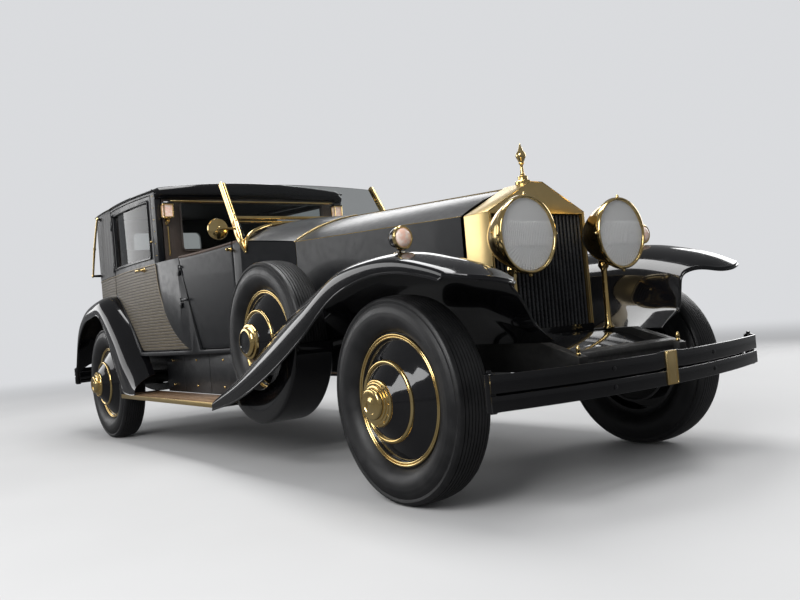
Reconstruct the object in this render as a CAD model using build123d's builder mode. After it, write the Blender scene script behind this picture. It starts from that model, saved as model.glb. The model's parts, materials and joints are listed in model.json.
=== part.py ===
"""A 1920s open-drive town car: a long bonnet behind an upright gabled radiator, an open driver's
compartment with a raked windscreen, a closed rear compartment with cane-pattern sides, sweeping front
wings that carry the spare wheels, and a double-bar bumper at each end.

Frame: +X forward, +Y to the car's left, +Z up, millimetres. The origin is on the ground, midway
between the faces of the two bumpers. Places along the car are worked out from the front axle.
"""
from build123d import *
import os
from math import atan2, cos, degrees, radians, sin, sqrt, tan

os.makedirs("parts", exist_ok=True)

# Overall layout
wheelbase = 3721.0
track = 1500.0
overall_length = 5440.0
front_overhang = 725.0
running_gap = 6.0
seat_gap = 0.3
front_axle_x = overall_length / 2 - front_overhang
rear_axle_x = front_axle_x - wheelbase
half_track = track / 2

# Wheels and tyres
tyre_radius = 419.0
tyre_width = 176.0
tyre_shoulder = 30.0
rim_radius = 258.0
rim_ring_radius = 268.0
rim_ring_plane = 51.0
rim_ring_thick = 8.0
inner_ring_radius = 162.0
inner_ring_plane = 101.0
hub_flange_radius = 92.0
hub_flange_plane = 150.0
hub_nut_radius = 64.0
hub_face_plane = 184.0
drum_radius = 205.0
drum_depth = 62.0
spindle_radius = 24.0
spindle_gap = 0.5
wheel_z = tyre_radius

# Chassis
rail_half = 420.0
rail_nose_half = 320.0
rail_width = 50.0
rail_bottom = 480.0
rail_height = 134.7
rail_front_x = front_axle_x + 560.0
rail_rear_x = rear_axle_x - 740.0
rail_taper_front_x = front_axle_x - 700.0
rail_taper_rear_x = front_axle_x - 1700.0
cross_radius = 32.0
rail_top = rail_bottom + rail_height

# Front axle and steering
kingpin_y = 655.0
kingpin_radius = 16.0
kingpin_gap = 0.3
eye_radius = 32.0
eye_height = 84.0
fork_gap = 1.0
fork_height = 22.0
beam_width = 46.0
beam_height = 64.0
beam_drop = 92.0
steer_arm = 165.0
arm_in = 12.0
track_rod_radius = 13.0
track_rod_z = 318.0

# Springs
spring_width = 56.0
spring_half = 470.0
spring_thick = 42.0
rear_spring_half = 640.0
rear_spring_thick = 58.0
eye_outer = 20.0

# Radiator
radiator_x = front_axle_x + 100.0
radiator_depth = 165.0
radiator_half = 306.0
radiator_shoulder = 1168.0
radiator_peak = 1302.0
radiator_flat = 40.0
radiator_bottom = rail_top + seat_gap
radiator_post = 12.0
slat_count = 24
slat_width = 16.0
slat_depth = 42.0
grille_top = 1158.0

# Bonnet
bonnet_sheet = 6.0
bonnet_front_gap = 18.0
cowl_x = front_axle_x - 1350.0
cowl_half = 431.0
cowl_belt = 1212.0
cowl_peak = 1362.0
cowl_mid_y = 215.0
cowl_mid_z = 1314.0
bonnet_bottom = 660.0
hinge_rod = 4.0
belt_rod = 3.5

# Coachwork
coach_x = front_axle_x - 1700.0
coach_front_half = 597.0
coach_wide_x = front_axle_x - 2650.0
coach_half = 742.0
hinge_line_x = front_axle_x - 3705.0
quarter_half = 704.0
tail_x = front_axle_x - 4420.0
tail_half = 640.0
tail_corner = 150.0
wall = 40.0
sill_z = rail_top + seat_gap
floor_thick = 24.0
belt_z = 1240.0
scuttle_z = 1275.0
roof_edge_z = 1722.0
roof_peak_z = 1792.0
roof_thick = 34.0
pillar_front_x = front_axle_x - 2650.0
pillar_x = front_axle_x - 2712.0
division_thick = 30.0
division_half = 690.0

# Doors
front_door_front_x = front_axle_x - 1775.0
front_door_rear_top_x = front_axle_x - 2370.0
front_door_rear_low_x = front_axle_x - 2195.0
door_bottom = 640.0
rear_door_toe_x = front_axle_x - 2290.0
rear_door_mid_x = front_axle_x - 2540.0
rear_door_mid_z = 800.0
door_arch_top_z = 1092.0
door_arch_mid_x = front_axle_x - 3380.0
door_arch_mid_z = 893.0
door_arch_low_x = front_axle_x - 3120.0
rear_door_top = 1702.0
window_bottom = 1290.0
window_top = 1662.0
window_front_x = front_axle_x - 2772.0
window_rear_x = front_axle_x - 3645.0
glass_thick = 6.0


def side_plane(y=0.0):
    """A sketch plane at one y: local x runs forward, local y runs up."""
    return Plane(origin=(0, y, 0), x_dir=(1, 0, 0), z_dir=(0, -1, 0))


def cross_plane(x=0.0):
    """A sketch plane across the car at one x: local x runs to the left, local y runs up."""
    return Plane(origin=(x, 0, 0), x_dir=(0, 1, 0), z_dir=(1, 0, 0))


def both_sides(shape):
    """A right-hand solid and its mirror image, as one compound."""
    return Compound(children=[shape, mirror(shape, about=Plane.XZ)])


def rod_between(start, end, radius):
    """A round rod from one point to another."""
    start_v = Vector(*start)
    direction = Vector(*end) - start_v
    with BuildPart() as rod:
        with BuildSketch(Plane(origin=start_v, z_dir=direction)):
            Circle(radius)
        extrude(amount=direction.length)
    return rod.part


def write(name, shape):
    """Label a finished piece and write it to its own file."""
    shape.label = name
    export_step(shape, "parts/" + name + ".step")


def hub_plane(x, y, z, side):
    """A sketch plane through a wheel's axle: local x runs outboard, local y runs up."""
    return Plane(origin=(x, y, z), x_dir=(0, side, 0), z_dir=(side, 0, 0))


def hub_axis(x, y, z):
    return Axis((x, y, z), (0, 1, 0))


def make_tyre(x, y, z, side):
    """A plain-shouldered balloon tyre, open at its bead."""
    half = tyre_width / 2
    bead = rim_radius + seat_gap
    ring_back = rim_ring_plane - rim_ring_thick
    with BuildPart() as tyre:
        with BuildSketch(hub_plane(x, y, z, side)):
            with BuildLine():
                Polyline((-half + 34, bead), (-half + 30, bead + 16))
                ThreePointArc(
                    (-half + 30, bead + 16), (-half, bead + 72), (-half + 12, tyre_radius - tyre_shoulder)
                )
                ThreePointArc(
                    (-half + 12, tyre_radius - tyre_shoulder),
                    (-half + 20, tyre_radius - 10),
                    (-half + 40, tyre_radius - 2),
                )
                ThreePointArc((-half + 40, tyre_radius - 2), (0, tyre_radius), (half - 40, tyre_radius - 2))
                ThreePointArc(
                    (half - 40, tyre_radius - 2),
                    (half - 20, tyre_radius - 10),
                    (half - 12, tyre_radius - tyre_shoulder),
                )
                ThreePointArc(
                    (half - 12, tyre_radius - tyre_shoulder), (half, bead + 76), (ring_back - seat_gap, bead + 14)
                )
                Polyline((ring_back - seat_gap, bead + 14), (ring_back - seat_gap, bead), (-half + 34, bead))
            make_face()
        revolve(axis=hub_axis(x, y, z))
    return tyre.part


def make_wheel(x, y, z, side, road=True):
    """A disc wheel with a stepped cover: two bright ring steps, a hub flange and a hub nut.
    A road wheel carries its brake drum and is bored for the spindle."""
    half = tyre_width / 2
    with BuildPart() as wheel:
        with BuildSketch(hub_plane(x, y, z, side)):
            with BuildLine():
                Polyline(
                    (0, 0),
                    (hub_face_plane, 0),
                    (hub_face_plane, hub_nut_radius - 10),
                    (hub_face_plane - 10, hub_nut_radius),
                    (hub_flange_plane + 6, hub_nut_radius),
                    (hub_flange_plane + 6, hub_flange_radius),
                    (hub_flange_plane - 8, hub_flange_radius),
                    (inner_ring_plane + 4, inner_ring_radius - 12),
                    (inner_ring_plane, inner_ring_radius),
                    (inner_ring_plane - 12, inner_ring_radius),
                    (rim_ring_plane - 10, rim_ring_radius - 22),
                    (rim_ring_plane, rim_ring_radius - 14),
                    (rim_ring_plane, rim_ring_radius),
                    (rim_ring_plane - rim_ring_thick, rim_ring_radius),
                    (rim_ring_plane - rim_ring_thick, rim_radius),
                    (-half + 34, rim_radius),
                    (-half + 34, rim_radius - 14),
                    (0, rim_radius - 14),
                    (0, 0),
                )
            make_face()
        revolve(axis=hub_axis(x, y, z))
        if road:
            with BuildSketch(hub_plane(x, y, z, side)):
                with BuildLine():
                    Polyline(
                        (0, 0),
                        (0, drum_radius),
                        (-drum_depth, drum_radius),
                        (-drum_depth, drum_radius - 12),
                        (-14, drum_radius - 12),
                        (-14, 0),
                        (0, 0),
                    )
                make_face()
            revolve(axis=hub_axis(x, y, z))
            with BuildSketch(hub_plane(x, y, z, side)):
                with Locations((hub_flange_plane / 2 - 10, (spindle_radius + spindle_gap) / 2)):
                    Rectangle(hub_flange_plane + 20, spindle_radius + spindle_gap)
            revolve(axis=hub_axis(x, y, z), mode=Mode.SUBTRACT)
    return wheel.part


# Road wheels: (name, x, side), side -1 on the right
road_wheels = [
    ("front_right", front_axle_x, -1),
    ("front_left", front_axle_x, 1),
    ("rear_right", rear_axle_x, -1),
    ("rear_left", rear_axle_x, 1),
]
for corner, axle_x, side in road_wheels:
    write("tyre_" + corner, make_tyre(axle_x, side * half_track, wheel_z, side))
    write("wheel_" + corner, make_wheel(axle_x, side * half_track, wheel_z, side))

# Spare wheels stand in the front wings
spare_x = front_axle_x - 1240.0
spare_clear = 71.0
spare_y = coach_front_half + spare_clear
spare_z = 682.0
write("spare_tyres", both_sides(make_tyre(spare_x, -spare_y, spare_z, -1)))
write("spare_wheels", both_sides(make_wheel(spare_x, -spare_y, spare_z, -1, road=False)))

# Chassis frame: two rails that draw together towards the front, with tube cross members
def rail_y(x):
    """Distance of a rail's middle from the centre line at one x."""
    share = (rail_taper_front_x - x) / (rail_taper_front_x - rail_taper_rear_x)
    return rail_nose_half + (rail_half - rail_nose_half) * min(1.0, max(0.0, share))


with BuildPart() as rail:
    with BuildSketch(side_plane(0)):
        with BuildLine():
            Polyline(
                (rail_front_x, rail_bottom),
                (rail_front_x, rail_bottom + 60),
                (rail_front_x - 240, rail_top),
                (rail_rear_x + 160, rail_top),
                (rail_rear_x, rail_top - 40),
                (rail_rear_x, rail_bottom),
                (rail_front_x, rail_bottom),
            )
        make_face()
    extrude(amount=1000)
    with BuildSketch(Plane.XY.offset(rail_bottom - 10)):
        with BuildLine():
            Polyline(
                (rail_front_x, -rail_nose_half + rail_width / 2),
                (rail_taper_front_x, -rail_nose_half + rail_width / 2),
                (rail_taper_rear_x, -rail_half + rail_width / 2),
                (rail_rear_x, -rail_half + rail_width / 2),
                (rail_rear_x, -rail_half - rail_width / 2),
                (rail_taper_rear_x, -rail_half - rail_width / 2),
                (rail_taper_front_x, -rail_nose_half - rail_width / 2),
                (rail_front_x, -rail_nose_half - rail_width / 2),
                (rail_front_x, -rail_nose_half + rail_width / 2),
            )
        make_face()
    extrude(amount=rail_height + 20, mode=Mode.INTERSECT)
cross_xs = [
    rail_front_x - 60,
    front_axle_x - 330,
    front_axle_x - 1100,
    front_axle_x - 2300,
    rear_axle_x + 600,
    rail_rear_x + 60,
]
with BuildPart() as frame:
    add(rail.part)
    add(mirror(rail.part, about=Plane.XZ))
    for cross_x in cross_xs:
        with BuildSketch(side_plane(rail_y(cross_x))):
            with Locations((cross_x, rail_bottom + 50)):
                Circle(cross_radius)
        extrude(amount=2 * rail_y(cross_x))
write("chassis_frame", frame.part)

# Engine and gearbox as one plain block on the cross members
engine_front_x = front_axle_x - 160.0
engine_length = 1080.0
engine_width = 380.0
engine_top = 1080.0
engine_z = rail_bottom + 50 + cross_radius + seat_gap
with BuildPart() as engine:
    with Locations((engine_front_x - engine_length / 2, 0, (engine_z + engine_top) / 2)):
        Box(engine_length, engine_width, engine_top - engine_z)
write("engine_block", engine.part)

# Front axle: a dropped beam whose ends are eyes for the kingpins
beam_top = wheel_z + beam_height / 2
with BuildPart() as front_axle:
    with BuildSketch(cross_plane(front_axle_x)):
        with BuildLine():
            Polyline(
                (-kingpin_y, beam_top),
                (-kingpin_y, wheel_z - eye_height / 2),
                (-kingpin_y + 50, wheel_z - eye_height / 2),
                (-kingpin_y + 160, beam_top - beam_height - beam_drop),
                (kingpin_y - 160, beam_top - beam_height - beam_drop),
                (kingpin_y - 50, wheel_z - eye_height / 2),
                (kingpin_y, wheel_z - eye_height / 2),
                (kingpin_y, beam_top),
                (kingpin_y - 110, beam_top),
                (kingpin_y - 200, beam_top - beam_drop),
                (-kingpin_y + 200, beam_top - beam_drop),
                (-kingpin_y + 110, beam_top),
                (-kingpin_y, beam_top),
            )
        make_face()
    extrude(amount=beam_width / 2, both=True)
    with BuildSketch(Plane.XY.offset(wheel_z - eye_height / 2)):
        with Locations((front_axle_x, -kingpin_y), (front_axle_x, kingpin_y)):
            Circle(eye_radius)
    extrude(amount=eye_height)
    with BuildSketch(Plane.XY.offset(wheel_z - eye_height)):
        with Locations((front_axle_x, -kingpin_y), (front_axle_x, kingpin_y)):
            Circle(kingpin_radius + kingpin_gap)
    extrude(amount=2 * eye_height, mode=Mode.SUBTRACT)
write("front_axle", front_axle.part)

# Steering knuckles: a fork above and below the eye, the kingpin, the spindle, a brake plate and an arm
fork_low = wheel_z - eye_height / 2 - fork_gap - fork_height
fork_high = wheel_z + eye_height / 2 + fork_gap
plate_y = half_track - drum_depth + 6


def make_knuckle():
    with BuildPart() as knuckle:
        for fork_z in (fork_low, fork_high):
            with BuildSketch(Plane.XY.offset(fork_z)):
                with Locations((front_axle_x, -kingpin_y)):
                    Circle(eye_radius - 4)
                with Locations((front_axle_x, -(kingpin_y + plate_y) / 2)):
                    Rectangle(2 * (eye_radius - 4), plate_y - kingpin_y)
            extrude(amount=fork_height)
        with BuildSketch(Plane.XY.offset(fork_low)):
            with Locations((front_axle_x, -kingpin_y)):
                Circle(kingpin_radius)
        extrude(amount=fork_high + fork_height - fork_low)
        with BuildSketch(side_plane(-plate_y + 4)):
            with Locations((front_axle_x, wheel_z)):
                Circle(drum_radius - 14)
        extrude(amount=8)
        with BuildSketch(side_plane(-plate_y)):
            with Locations((front_axle_x, wheel_z)):
                Circle(spindle_radius)
        extrude(amount=half_track + hub_flange_plane - 4 - plate_y)
        with BuildSketch(Plane.XY.offset(fork_low)):
            with Locations((front_axle_x - steer_arm / 2, -kingpin_y + arm_in)):
                Rectangle(steer_arm + 40, 26)
        extrude(amount=14)
    return knuckle.part


knuckle_right = make_knuckle()
write("knuckle_right", knuckle_right)
write("knuckle_left", mirror(knuckle_right, about=Plane.XZ))

# Track rod between the two steering arms
rod_half = kingpin_y - arm_in
rod_x = front_axle_x - steer_arm
rod_z = fork_low - track_rod_radius - seat_gap
with BuildPart() as track_rod:
    with BuildSketch(side_plane(rod_half)):
        with Locations((rod_x, rod_z)):
            Circle(track_rod_radius)
    extrude(amount=2 * rod_half)
write("track_rod", track_rod.part)

# Rear axle: banjo case, tubes and brake plates
with BuildPart() as rear_axle:
    with BuildSketch(side_plane(plate_y)):
        with Locations((rear_axle_x, wheel_z)):
            Circle(44)
    extrude(amount=2 * plate_y)
    with BuildSketch(cross_plane(rear_axle_x)):
        with BuildLine():
            Line((-150, wheel_z), (150, wheel_z))
            ThreePointArc((150, wheel_z), (0, wheel_z + 165), (-150, wheel_z))
        make_face()
    revolve(axis=Axis((rear_axle_x, 0, wheel_z), (0, 1, 0)))
    for side in (-1, 1):
        with BuildSketch(side_plane(side * plate_y)):
            with Locations((rear_axle_x, wheel_z)):
                Circle(drum_radius - 14)
        extrude(amount=4, both=True)
        with BuildSketch(side_plane(side * plate_y)):
            with Locations((rear_axle_x, wheel_z)):
                Circle(spindle_radius)
        extrude(amount=-side * (half_track + hub_flange_plane - 4 - plate_y))
write("rear_axle", rear_axle.part)

# Leaf springs: front ones on the beam under the rails, rear ones above the axle tube
def make_spring(x, y, pad_z, half, rise, thick):
    """A bow of leaves, thick at its pad and thin at its two eyes."""
    with BuildPart() as spring:
        with BuildSketch(side_plane(y)):
            with BuildLine():
                ThreePointArc((x - half, pad_z + rise), (x, pad_z), (x + half, pad_z + rise))
                Line((x + half, pad_z + rise), (x + half, pad_z + rise + 12))
                ThreePointArc(
                    (x + half, pad_z + rise + 12), (x, pad_z + thick), (x - half, pad_z + rise + 12)
                )
                Line((x - half, pad_z + rise + 12), (x - half, pad_z + rise))
            make_face()
        extrude(amount=spring_width / 2, both=True)
        with BuildSketch(side_plane(y)):
            with Locations((x - half, pad_z + rise + 4), (x + half, pad_z + rise + 4)):
                Circle(eye_outer)
        extrude(amount=spring_width / 2, both=True)
    return spring.part


eye_z = rail_bottom - seat_gap - eye_outer
front_pad_z = beam_top - beam_drop + seat_gap
rear_pad_z = wheel_z - 44 - seat_gap - rear_spring_thick
springs = Compound(
    children=[
        make_spring(front_axle_x, side * rail_nose_half, front_pad_z, spring_half,
                    eye_z - 4 - front_pad_z, spring_thick)
        for side in (-1, 1)
    ]
    + [
        make_spring(rear_axle_x, side * rail_half, rear_pad_z, rear_spring_half,
                    eye_z - 4 - rear_pad_z, rear_spring_thick)
        for side in (-1, 1)
    ]
)
write("leaf_springs", springs)

# Radiator shell with its gabled top, and the shutters in front of the core
radiator_back_x = radiator_x - radiator_depth
with BuildPart() as shell:
    with BuildSketch(cross_plane(radiator_back_x)):
        with BuildLine():
            Polyline(
                (-radiator_half, radiator_bottom),
                (radiator_half, radiator_bottom),
                (radiator_half, radiator_shoulder),
                (radiator_flat, radiator_peak),
                (-radiator_flat, radiator_peak),
                (-radiator_half, radiator_shoulder),
                (-radiator_half, radiator_bottom),
            )
        make_face()
    extrude(amount=radiator_depth)
    with BuildSketch(cross_plane(radiator_back_x)):
        with Locations((0, (radiator_bottom + 20 + grille_top) / 2)):
            Rectangle(2 * (radiator_half - radiator_post), grille_top - radiator_bottom - 20)
    extrude(amount=radiator_depth, mode=Mode.SUBTRACT)
    with BuildSketch(cross_plane(radiator_back_x)):
        with Locations((0, radiator_bottom + 10)):
            Rectangle(2 * (radiator_half - radiator_post), 20)
    extrude(amount=radiator_depth - 60, mode=Mode.SUBTRACT)
write("radiator_shell", shell.part)

slat_span = 2 * (radiator_half - radiator_post) - 16
slat_low = radiator_bottom + 20 + seat_gap
slat_high = grille_top - seat_gap
with BuildPart() as shutters:
    with Locations((radiator_x - 14 - slat_depth - 35, 0, (slat_low + slat_high) / 2)):
        Box(70, slat_span + 16 - 2 * seat_gap, slat_high - slat_low)
    with BuildSketch(Plane.XY.offset(slat_low)):
        with Locations((radiator_x - 14 - slat_depth / 2, 0)):
            with GridLocations(0, slat_span / (slat_count - 1), 1, slat_count):
                Rectangle(slat_depth, slat_width)
    extrude(amount=slat_high - slat_low)
write("radiator_shutters", shutters.part)

# Filler cap and a plain turned finial
cap_x = radiator_x - 80.0
with BuildPart() as finial:
    with BuildSketch(Plane(origin=(cap_x, 0, radiator_peak + seat_gap), x_dir=(1, 0, 0), z_dir=(0, -1, 0))):
        with BuildLine():
            Polyline(
                (0, 0),
                (34, 0),
                (34, 18),
                (24, 26),
                (24, 40),
                (12, 50),
                (7, 100),
                (12, 112),
                (20, 130),
                (22, 142),
                (12, 160),
                (0, 194),
                (0, 0),
            )
        make_face()
    revolve(axis=Axis((cap_x, 0, 0), (0, 0, 1)))
write("radiator_finial", finial.part)

# Bonnet: top and side panels each side
bonnet_front_x = radiator_back_x - bonnet_front_gap
bonnet_rear_x = cowl_x + running_gap
front_peak = radiator_peak - 2
front_belt = radiator_shoulder
front_half = radiator_half - 2


def top_section(x, half, belt, peak, mid_y, mid_z):
    """Half a bonnet section, from the centre hinge rod to the belt hinge rod, one sheet thick."""
    inner = hinge_rod + seat_gap
    edge = belt + belt_rod + seat_gap
    with BuildSketch(cross_plane(x)) as section:
        with BuildLine():
            ThreePointArc((-inner, peak), (-mid_y, mid_z), (-half, edge))
            Line((-half, edge), (-half + bonnet_sheet, edge))
            ThreePointArc(
                (-half + bonnet_sheet, edge),
                (-mid_y + 1, mid_z - bonnet_sheet),
                (-inner, peak - bonnet_sheet),
            )
            Line((-inner, peak - bonnet_sheet), (-inner, peak))
        make_face()
    return section.sketch


with BuildPart() as bonnet_top:
    loft(
        sections=[
            top_section(bonnet_front_x, front_half, front_belt, front_peak, 160, 1246),
            top_section(bonnet_rear_x, cowl_half, cowl_belt, cowl_peak, cowl_mid_y, cowl_mid_z),
        ]
    )
write("bonnet_top_right", bonnet_top.part)
write("bonnet_top_left", mirror(bonnet_top.part, about=Plane.XZ))

side_yaw = atan2(cowl_half - front_half, bonnet_front_x - bonnet_rear_x)
with BuildPart() as bonnet_side:
    with BuildSketch(Plane(origin=(bonnet_front_x, -front_half, 0),
                           x_dir=(cos(side_yaw), sin(side_yaw), 0), z_dir=(sin(side_yaw), -cos(side_yaw), 0))):
        side_run = (bonnet_front_x - bonnet_rear_x) / cos(side_yaw)
        with BuildLine():
            Polyline(
                (0, bonnet_bottom),
                (0, front_belt),
                (-side_run, cowl_belt),
                (-side_run, bonnet_bottom),
                (0, bonnet_bottom),
            )
        make_face()
    extrude(amount=-bonnet_sheet)
    add(rod_between((bonnet_front_x, -front_half, front_belt), (bonnet_rear_x, -cowl_half, cowl_belt), belt_rod))
write("bonnet_side_right", bonnet_side.part)
write("bonnet_side_left", mirror(bonnet_side.part, about=Plane.XZ))

# Cowl: a hollow hood from the bonnet to the driver's compartment, closed by the dash at its front
def cowl_section(x, half, belt, peak, mid_y, mid_z, low):
    with BuildSketch(cross_plane(x)) as section:
        with BuildLine():
            ThreePointArc((0, peak), (-mid_y, mid_z), (-half, belt))
            Polyline((-half, belt), (-half, low), (half, low), (half, belt))
            ThreePointArc((half, belt), (mid_y, mid_z), (0, peak))
        make_face()
    return section.sketch


def hinge_point(x):
    """A point on the bonnet's centre hinge line."""
    share = (bonnet_front_x - x) / (bonnet_front_x - bonnet_rear_x)
    return (x, 0, front_peak + share * (cowl_peak - front_peak))


cowl_rear_x = coach_x
cowl_wall = 24.0
cowl_outer = [
    cowl_section(cowl_x, cowl_half, cowl_belt, cowl_peak, cowl_mid_y, cowl_mid_z, sill_z),
    cowl_section(cowl_rear_x, coach_front_half, 1262, 1400, 320, 1352, sill_z),
]
cowl_inner = [
    cowl_section(cowl_x - cowl_wall, cowl_half - cowl_wall + 12, cowl_belt - cowl_wall,
                 cowl_peak - cowl_wall, cowl_mid_y, cowl_mid_z - cowl_wall, sill_z + cowl_wall),
    cowl_section(cowl_rear_x - 1, coach_front_half - cowl_wall, 1262 - cowl_wall,
                 1400 - cowl_wall, 320, 1352 - cowl_wall, sill_z + cowl_wall),
]
with BuildPart() as cowl:
    loft(sections=cowl_outer)
    loft(sections=cowl_inner, mode=Mode.SUBTRACT)
    add(rod_between(hinge_point(cowl_x - 12), hinge_point(radiator_back_x - seat_gap), hinge_rod))
write("cowl", cowl.part)

# Plan of the coachwork, used for its walls, doors, floor and roof
with BuildSketch() as coach_plan:
    with BuildLine():
        ThreePointArc((coach_x, -coach_front_half), (coach_wide_x, -coach_half), (hinge_line_x, -quarter_half))
        ThreePointArc((hinge_line_x, -quarter_half), ((hinge_line_x + tail_x + tail_corner) / 2, -(quarter_half + tail_half) / 2 - 8),
                      (tail_x + tail_corner, -tail_half))
        ThreePointArc((tail_x + tail_corner, -tail_half), (tail_x + 34, -tail_half + 56), (tail_x, -tail_half + 170))
        Line((tail_x, -tail_half + 170), (tail_x, 0))
        mirror(about=Plane.XZ)
        Line((coach_x, -coach_front_half), (coach_x, coach_front_half))
    make_face()
with BuildSketch() as coach_inside:
    add(coach_plan.sketch)
    offset(amount=-wall, mode=Mode.REPLACE)
with BuildPart() as shell_wall:
    with BuildSketch(Plane.XY.offset(sill_z)):
        add(coach_plan.sketch)
        add(coach_inside.sketch, mode=Mode.SUBTRACT)
    extrude(amount=rear_door_top + 20 - sill_z)
walls = shell_wall.part


def side_prism(outline, y_from, y_to, gap=0.0):
    """A prism across the car between two y values, from an outline in side view, drawn in by a gap."""
    with BuildPart() as prism:
        with BuildSketch(side_plane(max(y_from, y_to))):
            with BuildLine():
                outline()
            make_face()
            if gap:
                offset(amount=-gap, kind=Kind.INTERSECTION, mode=Mode.REPLACE)
        extrude(amount=abs(y_to - y_from))
    return prism.part


def front_door_outline():
    """The front door's opening seen from the side, open at its top."""
    Polyline(
        (front_door_front_x, door_bottom),
        (front_door_front_x, scuttle_z + 40),
        (front_door_rear_top_x, scuttle_z + 40),
        (front_door_rear_top_x, belt_z - 8),
        (front_door_rear_low_x, door_bottom),
        (front_door_front_x, door_bottom),
    )


def rear_door_outline():
    """The rear door's opening seen from the side: a raked leading edge and a cut round the rear wing."""
    Line((pillar_x, rear_door_top), (pillar_x, belt_z))
    ThreePointArc((pillar_x, belt_z), (rear_door_mid_x, rear_door_mid_z), (rear_door_toe_x, door_bottom))
    Line((rear_door_toe_x, door_bottom), (door_arch_low_x, door_bottom))
    ThreePointArc(
        (door_arch_low_x, door_bottom), (door_arch_mid_x, door_arch_mid_z), (hinge_line_x, door_arch_top_z)
    )
    Line((hinge_line_x, door_arch_top_z), (hinge_line_x, rear_door_top))
    Line((hinge_line_x, rear_door_top), (pillar_x, rear_door_top))


side_in = coach_front_half - 60
side_out = coach_half + 60
front_hole = side_prism(front_door_outline, -side_in + 120, -side_out)
rear_hole = side_prism(rear_door_outline, -side_in + 40, -side_out)
front_leaf = side_prism(front_door_outline, -side_in + 120, -side_out, running_gap)
rear_leaf = side_prism(rear_door_outline, -side_in + 40, -side_out, running_gap)

# Top line of the open compartment's sides
with BuildPart() as above_scuttle:
    with BuildSketch(side_plane(1000)):
        with BuildLine():
            Polyline(
                (coach_x + 50, scuttle_z),
                (front_door_rear_top_x, belt_z),
                (pillar_front_x, belt_z),
                (pillar_front_x, 2000),
                (coach_x + 50, 2000),
                (coach_x + 50, scuttle_z),
            )
        make_face()
    extrude(amount=2000)

arch_hole_radius = 500.0
wheelhouse_y = 560.0


def wheel_arch(radius, y_in, y_out):
    """A cylinder about the rear axle between two y values, for wheel arches."""
    with BuildPart() as arch:
        with BuildSketch(side_plane(max(y_in, y_out))):
            with Locations((rear_axle_x, wheel_z + 30)):
                Circle(radius)
        extrude(amount=abs(y_out - y_in))
    return arch.part


right_arch = wheel_arch(arch_hole_radius, -wheelhouse_y, -900)
right_house = wheel_arch(arch_hole_radius + 8, -wheelhouse_y + 8, -quarter_half + wall / 2)
with BuildPart() as house_trim:
    with BuildSketch(Plane.XY.offset(sill_z)):
        with Locations((rear_axle_x, 0)):
            Rectangle(2000, 3000)
    extrude(amount=600)
right_house = right_house & house_trim.part
left_arch = mirror(right_arch, about=Plane.XZ)

# Door hinges: a barrel on the body below one on the door, both outside the skin
hinge_out = 8.0
barrel_radius = 7.0
barrel_height = 34.0
front_hinge_zs = (950.0, 1160.0)
rear_hinge_zs = (1300.0, 1600.0)
front_hinge_x = front_door_rear_top_x + running_gap
rear_hinge_x = hinge_line_x + running_gap


def skin_y(x):
    """The coachwork's outer half-width at one x, from the walls themselves."""
    with BuildPart() as probe:
        with BuildSketch(Plane.XY.offset(sill_z + 200)):
            with Locations((x, -500)):
                Rectangle(0.5, 1000)
        extrude(amount=1)
    return -(walls & probe.part).bounding_box().min.Y


front_hinge_y = -skin_y(front_hinge_x)
rear_hinge_y = -skin_y(rear_hinge_x)


def hinge_leaf(x, y, z, reach, foot):
    """A barrel on the hinge axis with a strap that reaches along the skin to its foot."""
    with BuildPart() as leaf:
        with BuildSketch(Plane.XY.offset(z)):
            with Locations((x, y - hinge_out)):
                Circle(barrel_radius)
            with Locations((x + reach / 2, y - hinge_out)):
                Rectangle(abs(reach), 6)
            with Locations((x + reach + (foot if reach > 0 else -foot) / 2, y - hinge_out + 13)):
                Rectangle(foot, 32)
        extrude(amount=barrel_height)
    return leaf.part


def front_seam_x(z):
    """Where the front door's rear seam lies at one height."""
    share = (belt_z - 8 - z) / (belt_z - 8 - door_bottom)
    return front_door_rear_top_x + share * (front_door_rear_low_x - front_door_rear_top_x)


body_low_leaves = [
    hinge_leaf(front_hinge_x, front_hinge_y, z - barrel_height - seat_gap, -running_gap - 8, 14)
    for z in front_hinge_zs
]
body_high_leaves = [
    hinge_leaf(rear_hinge_x, rear_hinge_y, z - barrel_height - seat_gap, -running_gap - 8, 14)
    for z in rear_hinge_zs
]
front_door_leaves = [
    hinge_leaf(front_hinge_x, front_hinge_y, z, front_seam_x(z) - front_hinge_x + running_gap + 8, 20)
    for z in front_hinge_zs
]
rear_door_leaves = [hinge_leaf(rear_hinge_x, rear_hinge_y, z, 6, 14) for z in rear_hinge_zs]

# Lower body: floor, sills and the fixed side panels below the belt
with BuildPart() as tub:
    add(walls)
    with BuildSketch(Plane.XY.offset(sill_z)):
        add(coach_plan.sketch)
    extrude(amount=floor_thick)
    add(right_house)
    add(mirror(right_house, about=Plane.XZ))
    with BuildSketch(Plane.XY.offset(sill_z + floor_thick)):
        with Locations((coach_x, 0)):
            Rectangle(2 * wall + 20, 2 * (coach_front_half - wall - 6))
    extrude(amount=800, mode=Mode.SUBTRACT)
    add(above_scuttle.part, mode=Mode.SUBTRACT)
    with BuildSketch(Plane.XY.offset(belt_z)):
        with Locations((tail_x, 0)):
            Rectangle(4000, 3000)
    extrude(amount=800, mode=Mode.SUBTRACT)
    for hole in (front_hole, rear_hole, right_arch):
        add(hole, mode=Mode.SUBTRACT)
        add(mirror(hole, about=Plane.XZ), mode=Mode.SUBTRACT)
    for leaf in body_low_leaves:
        add(leaf)
        add(mirror(leaf, about=Plane.XZ))
write("body_tub", tub.part)

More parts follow.
